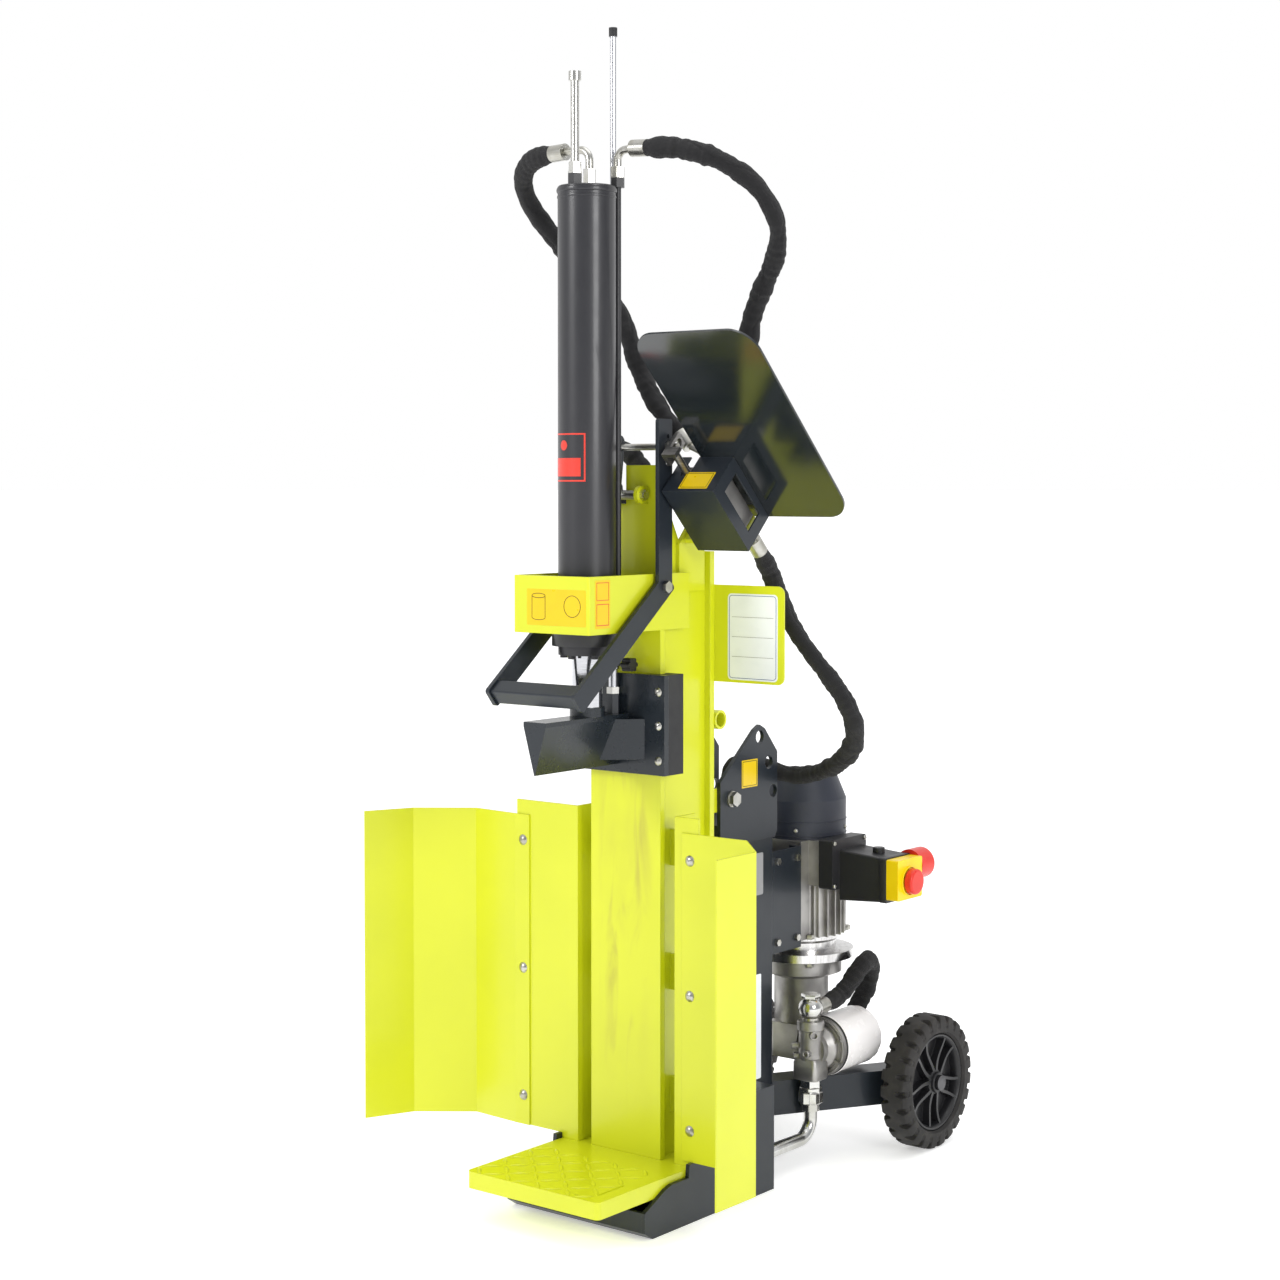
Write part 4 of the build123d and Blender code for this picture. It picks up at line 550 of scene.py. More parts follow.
class Builder:
    """Turns numpy grids into closed meshes and hands them to the frame."""

    def __init__(self, palette: Palette) -> None:
        """Keeps the palette that every piece is dressed from."""
        self.palette = palette
        self.count = 0

    def grid(self, points: np.ndarray, wrap_u: bool = False, wrap_v: bool = False, caps: bool = False) -> tuple:
        """Joins a grid of points with quads.

        Args:
            points: array of (rows, columns, 3).
            wrap_u: join the last row to the first.
            wrap_v: join the last column to the first.
            caps: close the first and last row with one face each.

        Returns:
            The vertices and the faces.
        """
        rows, columns = points.shape[:2]
        number = np.arange(rows * columns).reshape(rows, columns)
        if wrap_u:
            number = np.vstack([number, number[:1]])
        if wrap_v:
            number = np.hstack([number, number[:, :1]])
        quads = np.stack([number[:-1, :-1], number[1:, :-1], number[1:, 1:], number[:-1, 1:]], -1).reshape(-1, 4)
        faces = quads.tolist()
        if caps:
            faces += [list(range(columns)), list(range((rows - 1) * columns, rows * columns))[::-1]]
        return points.reshape(-1, 3), faces

    def ring(self, section: list, centre: tuple, axis: tuple, steps: int = 96) -> tuple:
        """Closed ring of a cross-section carried round an axis."""
        return self.grid(turned(section, centre, axis, steps), wrap_u=True, wrap_v=True)

    def solid(self, profile: list, centre: tuple, axis: tuple, steps: int) -> tuple:
        """Solid of revolution, closed by a small face at each end of its profile."""
        return self.grid(turned(profile, centre, axis, steps), wrap_v=True, caps=True)

    def hexagon(self, across: float, centre: tuple, axis: tuple, levels: tuple) -> tuple:
        """Hexagon nut: chamfered at both ends, its corners on a circle of across over the root of three."""
        reach = across / math.sqrt(3)
        low, high = levels
        shape = [(reach * 0.93, low), (reach, low + 0.0015), (reach, high - 0.0015), (reach * 0.93, high)]
        return self.solid(shape, centre, axis, 6)

    def piece(self, name: str, parts: list, finish: str, body: str, slot: str, smooth: float = 40.0,
              replaces: tuple = ()):
        """Makes one object of several surfaces and gives it its finish and body.

        Args:
            name: name of the piece.
            parts: (vertices, faces) pairs.
            finish: palette name.
            body: CAD body that it rides on.
            slot: not used.
            smooth: edges sharper than this angle in degrees stay sharp.
            replaces: CAD nodes that it stands for.

        Returns:
            The object.
        """
        vertices, faces, start = [], [], 0
        for points, quads in parts:
            vertices.append(np.asarray(points, float))
            faces += [[i + start for i in face] for face in quads]
            start += len(points)
        mesh = bpy.data.meshes.new(name)
        mesh.from_pydata(np.vstack(vertices).tolist(), [], faces)
        self.outward(mesh)
        made = bpy.data.objects.new(name, mesh)
        bpy.context.scene.collection.objects.link(made)
        mesh.shade_smooth()
        mesh.set_sharp_from_angle(angle=math.radians(smooth))
        self.palette.dress(made, finish)
        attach(made, body)
        if replaces:
            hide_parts(*replaces)
        self.count += 1
        log.info("piece %s: %d faces on %s", name, len(faces), body)
        return made

    @staticmethod
    def outward(mesh) -> None:
        """Merges doubled points and points the faces outwards."""
        shape = bmesh.new()
        shape.from_mesh(mesh)
        bmesh.ops.remove_doubles(shape, verts=shape.verts, dist=1e-6)
        bmesh.ops.recalc_face_normals(shape, faces=shape.faces)
        shape.to_mesh(mesh)
        shape.free()


def turned(profile: list, centre: tuple, axis: tuple, steps: int = 96) -> np.ndarray:
    """Surface of revolution: each profile point (radius, height) goes round the axis through centre.

    Args:
        profile: (radius, height) pairs, in metres; the first and last may be on the axis.
        centre: point on the axis at height 0.
        axis: direction of the axis.
        steps: points round.

    Returns:
        Array of (profile points, steps, 3).
    """
    along = np.array(axis, float) / np.linalg.norm(axis)
    side = np.cross(along, UP if abs(along[2]) < 0.9 else EAST)
    side /= np.linalg.norm(side)
    other = np.cross(along, side)
    angle = np.linspace(0, math.tau, steps, endpoint=False)
    ring = np.cos(angle)[:, None] * side + np.sin(angle)[:, None] * other
    radius, height = np.array(profile, float).T
    return np.array(centre) + radius[:, None, None] * ring[None] + height[:, None, None] * along


def slab(corners: list, normal: tuple, thick: float) -> tuple:
    """Flat plate: a closed outline and its copy thick metres along the normal.

    Args:
        corners: outline points in order, in metres.
        normal: direction of the thickness.
        thick: thickness in metres.

    Returns:
        The vertices and the faces.
    """
    low = np.array(corners, float)
    high = low + np.array(normal, float) / np.linalg.norm(normal) * thick
    count = len(low)
    sides = [[i, (i + 1) % count, count + (i + 1) % count, count + i] for i in range(count)]
    return np.vstack([low, high]), [list(range(count))[::-1], list(range(count, 2 * count)), *sides]


def rounded_outline(width: float, height: float, radius: float, steps: int = 6) -> np.ndarray:
    """Rounded rectangle round (0, 0): a quarter circle at each corner, counter-clockwise.

    Args:
        width: size along the first axis.
        height: size along the second axis.
        radius: corner radius.
        steps: points per corner.

    Returns:
        Array of (points, 2).
    """
    turn = np.linspace(0, math.pi / 2, steps)
    arc = radius * np.stack([np.cos(turn), np.sin(turn)], -1)
    spin = [np.array([[math.cos(q), math.sin(q)], [-math.sin(q), math.cos(q)]]) for q in np.arange(4) * math.pi / 2]
    hubs = np.array([(1, 1), (-1, 1), (-1, -1), (1, -1)]) * (width / 2 - radius, height / 2 - radius)
    return np.vstack([arc @ turn_by + hub for turn_by, hub in zip(spin, hubs)])


# --- sub-assemblies ----------------------------------------------------------------------


@dataclass
class Hoses:
    """Five hydraulic hoses in wrinkled textile sleeves."""

    builder: Builder
    radius: float = 0.0172
    neck: float = 0.0146
    wrinkle: float = 0.0034
    around: int = 40
    step: float = 0.0025
    routes: dict = field(default_factory=lambda: {
        "hose_a": (
            (96, -58, 1887), (140, -56, 1885), (181, -45, 1877), (221, -28, 1862), (254, -5, 1840),
            (278, 18, 1812), (292, 40, 1778), (291, 61, 1743), (274, 82, 1709), (246, 100, 1676),
            (216, 115, 1643), (189, 128, 1608), (170, 141, 1570), (159, 153, 1528), (156, 163, 1484),
            (157, 168, 1440), (161, 166, 1398), valve_point(165, -850, 1070), valve_point(165, -850, 1035)),
        "hose_b": (
            (-98, -85, 1890), (-130, -84, 1889), (-163, -77, 1879), (-189, -63, 1858), (-198, -44, 1830),
            (-194, -25, 1802), (-181, -7, 1773), (-162, 10, 1742), (-136, 22, 1710), (-103, 30, 1678),
            (-70, 34, 1645), (-42, 36, 1608), (-21, 37, 1568), (-5, 38, 1528), (12, 39, 1489),
            (33, 41, 1453), (60, 44, 1420), (88, 46, 1393)),
        "hose_c": (
            valve_point(180, -720, 950), valve_point(180, -688, 950), (183, 205, 1122), (193, 217, 1082),
            (210, 226, 1042), (233, 238, 1003), (260, 252, 965), (284, 270, 925), (294, 294, 882),
            (283, 322, 842), (254, 348, 809), (215, 370, 783), (172, 387, 764), (130, 398, 752),
            (90, 404, 746), (54, 401, 750), (25, 385, 760), (8, 358, 768), (0, 333, 764), (0, 321, 742),
            (0, 320, 718)),
        "hose_d": (
            (118, 470, 298), (119, 502, 301), (125, 533, 319), (132, 563, 350), (133, 594, 366),
            (124, 624, 360), (108, 648, 334), (90, 664, 300), (70, 670, 266), (53, 668, 234),
            (42, 658, 212), (36, 637, 204)),
        "hose_e": (
            valve_point(78, -905, 934), valve_point(46, -905, 934), (14, 60, 1298), (-16, 72, 1326),
            (-48, 80, 1356), (-84, 87, 1370), (-114, 98, 1352), (-127, 112, 1314), (-124, 128, 1270),
            (-118, 144, 1222), (-114, 160, 1170), (-110, 176, 1116), (-108, 192, 1060), (-107, 206, 1000),
            (-107, 218, 936), (-106, 229, 868), (-103, 239, 796), (-101, 249, 722), (-103, 261, 646),
            (-106, 275, 570), (-105, 291, 496), (-102, 310, 426), (-102, 332, 362), (-104, 362, 306),
            (-107, 400, 262), (-111, 442, 234), (-116, 484, 220), (-116, 522, 212), (-104, 548, 206),
            (-78, 556, 203)),
    })

    def centreline(self, name: str, points: tuple) -> np.ndarray:
        """Reads the order 3 NURBS spline of a route at even steps.

        Args:
            name: name of the throwaway curve.
            points: route points in millimetres.

        Returns:
            Array of (samples, 3) in metres.
        """
        curve = bpy.data.curves.new(name + "_route", "CURVE")
        curve.dimensions = "3D"
        spline = curve.splines.new("NURBS")
        spline.points.add(len(points) - 1)
        for point, place in zip(spline.points, points):
            point.co = (*(value * MM for value in place), 1.0)
        spline.order_u = 3
        spline.use_endpoint_u = True
        curve.resolution_u = 16
        holder = bpy.data.objects.new(name + "_route", curve)
        bpy.context.scene.collection.objects.link(holder)
        dense = bpy.data.meshes.new_from_object(holder.evaluated_get(bpy.context.evaluated_depsgraph_get()))
        line = np.empty(len(dense.vertices) * 3)
        dense.vertices.foreach_get("co", line)
        line = line.reshape(-1, 3)
        bpy.data.objects.remove(holder)
        bpy.data.curves.remove(curve)
        bpy.data.meshes.remove(dense)
        run = np.concatenate([[0], np.cumsum(np.linalg.norm(np.diff(line, axis=0), axis=1))])
        even = np.linspace(0, run[-1], int(run[-1] / self.step) + 1)
        return np.stack([np.interp(even, run, line[:, i]) for i in range(3)], -1)

    def sleeve(self, line: np.ndarray, seed: int) -> tuple:
        """Wrinkled tube: its radius is the hose radius plus ring folds, which lean with the angle and
        come and go along the hose, and every ring stands square to the line on a frame that never twists.

        Args:
            line: even points of the centreline.
            seed: number that fixes this sleeve's folds.

        Returns:
            Points of (samples, around, 3) and the UV pairs in metres of each point.
        """
        draw = np.random.default_rng(seed)
        tangent = np.gradient(line, axis=0)
        tangent /= np.linalg.norm(tangent, axis=1)[:, None]
        side = np.cross(tangent[0], (0.3, 0.2, 0.93))
        frames = []
        for here in tangent:
            side = side - here * (side @ here)
            side = side / np.linalg.norm(side)
            frames.append(side)
        side = np.array(frames)
        other = np.cross(tangent, side)
        angle = np.linspace(0, math.tau, self.around, endpoint=False)
        along = np.arange(len(line)) * self.step
        length = along[-1]
        folds = np.zeros((len(line), self.around))
        for wave in (0.083, 0.052, 0.034, 0.021, 0.0145):
            lean, lobes = draw.uniform(-0.9, 0.9), draw.integers(1, 3)
            phase, drift = draw.uniform(0, math.tau, 2)
            swell = 0.55 + 0.45 * np.sin(along / (2.7 * wave) + drift)
            crest = np.sin(along[:, None] * math.tau / wave + lean * np.sin(lobes * angle + drift)[None] + phase)
            folds += (np.abs(crest) ** 0.7 * np.sign(crest)) * swell[:, None] * (wave / 0.052) ** 0.5 * 0.5
        twist = 2 * angle[None] + along[:, None] * 9 + draw.uniform(0, 6)
        flat = 0.0026 * np.sin(twist) * (0.6 + 0.4 * np.sin(along * 21 + draw.uniform(0, 6)))[:, None]
        crease = np.abs(np.sin(angle[None] * 1.5 + 1.2 * np.sin(along * 33)[:, None] + draw.uniform(0, 6)))
        ends = np.clip(np.minimum(along, length - along) / 0.03, 0, 1)[:, None]
        ends = ends * ends * (3 - 2 * ends)
        loose = self.wrinkle * (folds * 0.5 - 0.5 * np.clip(1 - crease * 4, 0, 1)) + flat
        radius = self.neck + (self.radius - self.neck + loose) * ends
        ring = np.cos(angle)[None, :, None] * side[:, None] + np.sin(angle)[None, :, None] * other[:, None]
        points = line[:, None] + radius[:, :, None] * ring
        cloth = np.stack(np.broadcast_arrays(along[:, None], angle[None] * self.radius), -1)
        return points, cloth

    def build(self) -> None:
        """Makes every hose."""
        for seed, (name, points) in enumerate(self.routes.items()):
            line = self.centreline(name, points)
            skin, cloth = self.sleeve(line, 40 + seed)
            made = self.builder.piece(
                name.replace("hose", "sleeve"), [self.builder.grid(skin, wrap_v=True, caps=True)],
                "sleeve_textile", "frame", "hose_sleeve", 60, (name,))
            layer = made.data.uv_layers.new(name="cloth")
            corner = np.empty(len(made.data.loops), int)
            made.data.loops.foreach_get("vertex_index", corner)
            layer.data.foreach_set("uv", cloth.reshape(-1, 2)[corner].astype(np.float32).ravel())


@dataclass
class Wheel:
    """Solid rubber wheel with block tread on a spoked plastic rim."""

    builder: Builder
    side: int
    name: str
    radius: float = 0.130
    bead: float = 0.095
    inner: float = 0.204
    outer: float = 0.262
    axle: tuple = (0.656, 0.130)
    lugs: int = 24
    groove: float = 0.0095

    def tyre(self) -> None:
        """Block tread: the radius at (turn, width) is a rounded cross-section less two staggered rows of
        side grooves, each a smooth dip across the shoulder, and one shallow zigzag between the rows."""
        around = self.lugs * 26
        turn = np.arange(around) * math.tau / around
        half = (self.outer - self.inner) / 2
        share = np.array([-1, -1, -1, -0.985, -0.95, -0.86, -0.78, -0.7, -0.6, -0.5, -0.4, -0.32, -0.24, -0.16,
                          -0.08, 0, 0.08, 0.16, 0.24, 0.32, 0.4, 0.5, 0.6, 0.7, 0.78, 0.86, 0.95, 0.985, 1, 1, 1])
        base = np.array([self.bead + 0.004, self.bead + 0.010, self.radius - 0.022, self.radius - 0.014,
                         self.radius - 0.006, self.radius - 0.0016, self.radius - 0.0006])
        base = np.concatenate([base, np.full(len(share) - 14, self.radius - 0.0002), base[::-1]])
        width = share * half
        row = np.where(share < 0, 0.0, 0.5)[None]
        cell = (turn[:, None] * self.lugs / math.tau + row) % 1.0
        taper = np.clip((np.abs(share) - 0.26) / 0.5, 0, 1)[None]
        gap = 0.07 + 0.13 * taper
        dip = np.clip((gap - np.abs(cell - 0.5)) / 0.035, 0, 1)
        dip = dip * dip * (3 - 2 * dip) * np.clip(taper * 3, 0, 1)
        shoulder = np.array([1.0 if r > self.radius - 0.02 else 0.0 for r in base])[None]
        radius = base[None] - self.groove * dip * shoulder
        notch = (np.abs(share) > 0.98)[None] * (base > self.radius - 0.023)[None]
        width = width[None] * (1 - 0.05 * dip * notch)
        middle = self.side * (self.inner + self.outer) / 2
        points = np.stack([
            middle + width * np.ones_like(radius), self.axle[0] + radius * np.cos(turn)[:, None],
            self.axle[1] + radius * np.sin(turn)[:, None]], -1)
        bore = np.stack(np.broadcast_arrays(
            middle + np.array([0.8, 0.7, -0.7, -0.8])[None] * half,
            self.axle[0] + self.bead * np.cos(turn)[:, None], self.axle[1] + self.bead * np.sin(turn)[:, None]), -1)
        skin = np.concatenate([points, bore], axis=1)
        body = "wheel_" + self.name
        self.builder.piece("tread_" + self.name, [self.builder.grid(skin, wrap_u=True, wrap_v=True)],
                           "tyre_rubber", body, "tyre_rubber", 32, ("tyre_" + self.name,))

    def spoke(self, lean: float, turn: float, low: float, high: float) -> tuple:
        """Curved bar from hub to rim: its middle line bows sideways as a sine of the way out.

        Args:
            lean: sideways bow in metres, signed.
            turn: angle of the bar's foot in radians.
            low: first radius.
            high: last radius.

        Returns:
            The vertices and faces.
        """
        way = np.linspace(0, 1, 14)
        reach = low + (high - low) * way
        bow = lean * np.sin(way * math.pi / 2) ** 2
        thick = 0.0026 + 0.0012 * (1 - way)
        depth = 0.021 - 0.004 * np.sin(way * math.pi)
        middle = (self.inner + self.outer) / 2
        corners = np.array([(-1, -1), (1, -1), (1, -0.4), (1, 0.4), (1, 1), (-1, 1), (-1, 0.4), (-1, -0.4)])
        across = bow[:, None] + corners[None, :, 0] * thick[:, None]
        wide = corners[None, :, 1] * depth[:, None]
        out = np.broadcast_to(reach[:, None], across.shape)
        y = out * math.cos(turn) - across * math.sin(turn)
        z = out * math.sin(turn) + across * math.cos(turn)
        points = np.stack([self.side * middle + wide, self.axle[0] + y, self.axle[1] + z], -1)
        return self.builder.grid(points, wrap_v=True, caps=True)

    def rim(self) -> None:
        """Dished rim: a flanged ring, a stepped hub and five pairs of curved spokes."""
        middle = self.side * (self.inner + self.outer) / 2
        centre = (middle, *self.axle)
        axis = (1, 0, 0)
        ring = [(0.0948, -0.0205), (0.0948, 0.0205), (0.0925, 0.0235), (0.0895, 0.0235), (0.0868, 0.0205),
                (0.0845, 0.014), (0.0835, 0.004), (0.0835, -0.004), (0.0845, -0.014), (0.0868, -0.0205),
                (0.0895, -0.0235), (0.0925, -0.0235)]
        hub = [(0.0101, -0.0285), (0.0175, -0.0285), (0.0195, -0.027), (0.0205, -0.0215), (0.0235, -0.0195),
               (0.0245, -0.012), (0.0245, 0.012), (0.0235, 0.0195), (0.0205, 0.0215), (0.0195, 0.027),
               (0.0175, 0.0285), (0.0101, 0.0285)]
        web = [(0.022, -0.002), (0.0845, -0.0028), (0.0845, 0.0028), (0.022, 0.002)]
        parts = [self.builder.grid(turned(shape, centre, axis), wrap_u=True, wrap_v=True)
                 for shape in (ring, hub, web)]
        for number in range(5):
            foot = number * math.tau / 5 + 0.3
            parts += [self.spoke(0.016, foot + 0.22, 0.02, 0.0862), self.spoke(-0.016, foot - 0.22, 0.02, 0.0862)]
        self.builder.piece("spokes_" + self.name, parts, "rim_plastic", "wheel_" + self.name, "black_plastic", 34,
                           ("rim_" + self.name,))

    def build(self) -> None:
        """Makes tyre and rim."""
        self.tyre()
        self.rim()


@dataclass
class TablePattern:
    """Raised diamond ribs on the base plate's top."""

    builder: Builder
    top: float = 0.095
    left: float = -0.132
    right: float = 0.132
    front: float = -0.246
    back: float = -0.045
    pitch: float = 0.034
    rise: float = 0.0024

    def build(self) -> None:
        """Lens ribs: width is a sine of the way along, height its square root, laid in crossing rows."""
        way = np.linspace(0, 1, 7)
        bow = np.sin(way * math.pi)
        cross = np.array([(-1, 0), (-0.45, 0.85), (0, 1), (0.45, 0.85), (1, 0)])
        parts = []
        columns = int((self.right - self.left) / self.pitch)
        rows = int((self.back - self.front) / self.pitch)
        for i in range(columns + 1):
            for j in range(rows + 1):
                spin = math.radians(45 if (i + j) % 2 else -45)
                along = (way - 0.5) * self.pitch * 1.12
                side = cross[None, :, 0] * (0.0008 + 0.0034 * bow[:, None])
                up = cross[None, :, 1] * (0.0002 + self.rise * bow[:, None] ** 0.6)
                x = self.left + i * self.pitch + along[:, None] * math.cos(spin) - side * math.sin(spin)
                y = self.front + j * self.pitch + along[:, None] * math.sin(spin) + side * math.cos(spin)
                z = self.top + up - 0.0001
                points = np.stack(np.broadcast_arrays(x, y, z), -1)
                parts.append(self.builder.grid(points, wrap_v=True, caps=True))
        self.builder.piece("table_ribs", parts, "lime_paint", "frame", "lime_paint", 50)


@dataclass
class Labels:
    """Plain films where the machine carries stickers, with neutral line drawings and no words."""

    builder: Builder
    thick: float = 0.0004
    ink_lift: float = 0.0003
    line: float = 0.0009
    slots: dict = field(default_factory=lambda: {
        "yellow_film": "yellow_plastic", "white_film": "white_paint", "red_film": "red_plastic",
        "dark_film": "black_plastic", "blue_film": "white_paint", "silver_film": "cast_aluminium"})

    def film(self, name: str, place: tuple, size: tuple, finish: str, corner: float) -> None:
        """One flat film with rounded corners.

        Args:
            name: piece name.
            place: middle of the film on the surface, in metres, then the directions of its width and height.
            size: width and height in metres.
            finish: palette name.
            corner: corner radius.
        """
        self.outline(name, [rounded_outline(*size, corner, 5)], place, finish, 0.0)

    def outline(self, name: str, shapes: list, place: tuple, finish: str, lift: float) -> None:
        """Film cut to several flat outlines, given along the width and height of its place, lift metres up."""
        origin, right, up = (np.array(v, float) for v in place)
        out = np.cross(right, up)
        parts = []
        for shape in shapes:
            corners = origin + out * lift + shape[:, :1] * right + shape[:, 1:] * up
            parts.append(slab(corners.tolist(), out, self.thick))
        self.builder.piece(name, parts, finish, "frame", self.slots[finish], 30)

    @staticmethod
    def ribbon(line: np.ndarray, width: float, closed: bool = True) -> list:
        """Thin strips along a line, one four-sided piece for each run.

        Each strip is three tenths of the width longer at both ends.

        Args:
            line: array of (points, 2).
            width: line width.
            closed: join the last point to the first.

        Returns:
            Outlines of the strips.
        """
        ends = np.vstack([line, line[:1]]) if closed else line
        strips = []
        for start, end in zip(ends[:-1], ends[1:]):
            way = (end - start) / np.linalg.norm(end - start)
            side = np.array([-way[1], way[0]]) * width / 2
            reach = way * width * 0.3
            low, high = start - reach, end + reach
            strips.append(np.array([low - side, high - side, high + side, low + side]))
        return strips

    def log_drawing(self) -> list:
        """A log's side, as two straight lines between ellipses, and a log's end, as a circle."""
        half, low, high, flat = 0.015, -0.021, 0.016, 0.004
        turn = np.linspace(0, math.tau, 28, endpoint=False)
        circle = np.stack([np.cos(turn), np.sin(turn)], -1)
        side = []
        for x in (-half, half):
            side += self.ribbon(np.array([(x, low), (x, high)]), self.line, False)
        side += self.ribbon(circle * (half, flat) + (0, high + 0.001), self.line)
        foot = circle[14:] * (half, flat) + (0, low)
        side += self.ribbon(np.vstack([foot, [(half, low)]]), self.line, False)
        end = self.ribbon(circle * 0.0185, self.line)
        return [s + (-0.040, 0.003) for s in side] + [s + (0.036, 0.003) for s in end]

    def collar(self) -> None:
        """Films on the collar's front and right side."""
        front = ((0.0127, -0.2050, 1.0905), EAST, UP)
        self.film("collar_film_front", front, (0.133, 0.0625), "yellow_film", 0.002)
        self.outline("collar_film_log", self.log_drawing(), front, "dark_film", self.ink_lift)
        side = ((0.086, -0.1688, 1.097), NORTH, UP)
        self.film("collar_film_side", side, (0.040, 0.083), "yellow_film", 0.001)
        square = np.array([(-0.016, -0.015), (0.016, -0.015), (0.016, 0.015), (-0.016, 0.015)])
        lines = self.ribbon(square, 0.001)
        frames = [s + (0, 0.022) for s in lines] + [s * (1, 1.2) + (0, -0.018) for s in lines]
        self.outline("collar_film_frame", frames, side, "red_film", self.ink_lift)

    def info(self) -> None:
        """White film on the information plate, with a rule round it and three across."""
        place = ((0.1662, 0.1600, 1.0265), EAST, UP)
        self.film("info_film", place, (0.1105, 0.157), "white_film", 0.008)
        rule = self.ribbon(rounded_outline(0.1035, 0.150, 0.006, 5), self.line)
        self.outline("info_film_rule", rule, place, "blue_film", self.ink_lift)
        reach, half = 0.046, 0.0004
        rows = [np.array([(-reach, z - half), (reach, z - half), (reach, z + half), (-reach, z + half)])
                for z in (-0.036, 0.0, 0.036)]
        self.outline("info_film_rows", rows, place, "silver_film", self.ink_lift)

    def ruled(self, name: str, place: tuple, size: tuple, inset: float, line: float) -> None:
        """Yellow film with a dark rule inside its edge."""
        self.film(name, place, size, "yellow_film", 0.001)
        rule = rounded_outline(size[0] - inset, size[1] - inset, 0.001, 2)
        self.outline(name + "_rule", self.ribbon(rule, line), place, "dark_film", self.ink_lift)

    def build(self) -> None:
        """Places every film."""
        self.collar()
        self.info()
        box_top = tuple(v * MM for v in valve_point(168.5, -933, 919))
        self.ruled("valve_film", (box_top, EAST, (0, 1 / ROOT2, 1 / ROOT2)), (0.062, 0.040), 0.006, 0.0008)
        self.ruled("ear_film", ((0.073, 0.2807, 0.761), NORTH, UP), (0.050, 0.052), 0.006, 0.001)
        self.film("tank_plate", ((0.065, 0.300, 0.565), NORTH, UP), (0.072, 0.080), "silver_film", 0.003)
        self.film("tank_film", ((0.065, 0.301, 0.274), NORTH, UP), (0.058, 0.200), "white_film", 0.003)


@dataclass
class CylinderTrim:
    """Plain red mark on the cylinder and the beads round its top."""

    builder: Builder
    axis: tuple = (0.0, -0.107)
    skin: float = 0.05103
    face: float = 0.0514
    low: float = 1.3075
    high: float = 1.3915
    left: float = math.radians(-62)
    right: float = math.radians(37)

    def around(self, radius: np.ndarray, angle: np.ndarray, height: np.ndarray) -> np.ndarray:
        """Points at a radius, an angle from the front and a height on the cylinder's axis."""
        x, y = radius * np.sin(angle), self.axis[1] - radius * np.cos(angle)
        return np.stack(np.broadcast_arrays(x, y, height), -1)

    def mark(self) -> None:
        """Patches of angle and height wrapped round the cylinder, each with an outer face 0.4 mm above the
        tube and a second skin just above the tube that closes it."""
        edge, band = math.radians(3.2), 0.0028
        patches = [(self.left, self.right, self.high - band, self.high),
                   (self.left, self.right, self.low, self.low + band),
                   (self.left, self.left + edge, self.low, self.high),
                   (self.right - edge, self.right, self.low, self.high),
                   (self.left + 3 * edge, self.right - 3 * edge, self.low + 0.009, self.low + 0.041)]
        parts = []
        for first, last, bottom, top in patches:
            radius = np.array([self.skin, self.face, self.face, self.skin])[:, None]
            patch = self.around(radius, np.linspace(first, last, 20), np.array([bottom, bottom, top, top])[:, None])
            parts.append(self.builder.grid(patch.transpose(1, 0, 2), wrap_v=True, caps=True))
        middle, turn = (self.left + self.right) / 2, np.linspace(0, math.tau, 30, endpoint=False)
        reach = np.array([0.0002, 0.5, 1.0, 1.0, 0.5, 0.0002])[:, None] * 0.0088
        radius = np.repeat([self.face, self.skin], 3)[:, None]
        disc = self.around(radius, middle + reach * np.cos(turn) / 0.051, self.high - 0.021 + reach * np.sin(turn))
        parts.append(self.builder.grid(disc, wrap_v=True, caps=True))
        self.builder.piece("cylinder_mark", parts, "red_film", "frame", "red_plastic", 30)

    def beads(self) -> None:
        """Two rounded beads: a large one at the top and a fine one below it."""
        centre = (*self.axis, 0)
        parts = []
        for middle, rows in ((1.8150, ((0.0505, 0.0045), (0.0524, 0.0035), (0.0531, 0), (0.0524, -0.0035),
                                       (0.0505, -0.0045))),
                             (1.8035, ((0.0505, 0.0025), (0.0517, 0.0020), (0.0520, 0), (0.0517, -0.0020),
                                       (0.0505, -0.0025)))):
            shape = [(radius, middle + height) for radius, height in rows]
            parts.append(self.builder.ring(shape, centre, UP, 128))
        self.builder.piece("cylinder_beads", parts, "cylinder_enamel", "frame", "black_paint", 50)

    def build(self) -> None:
        """Makes the mark and the beads."""
        self.mark()
        self.beads()


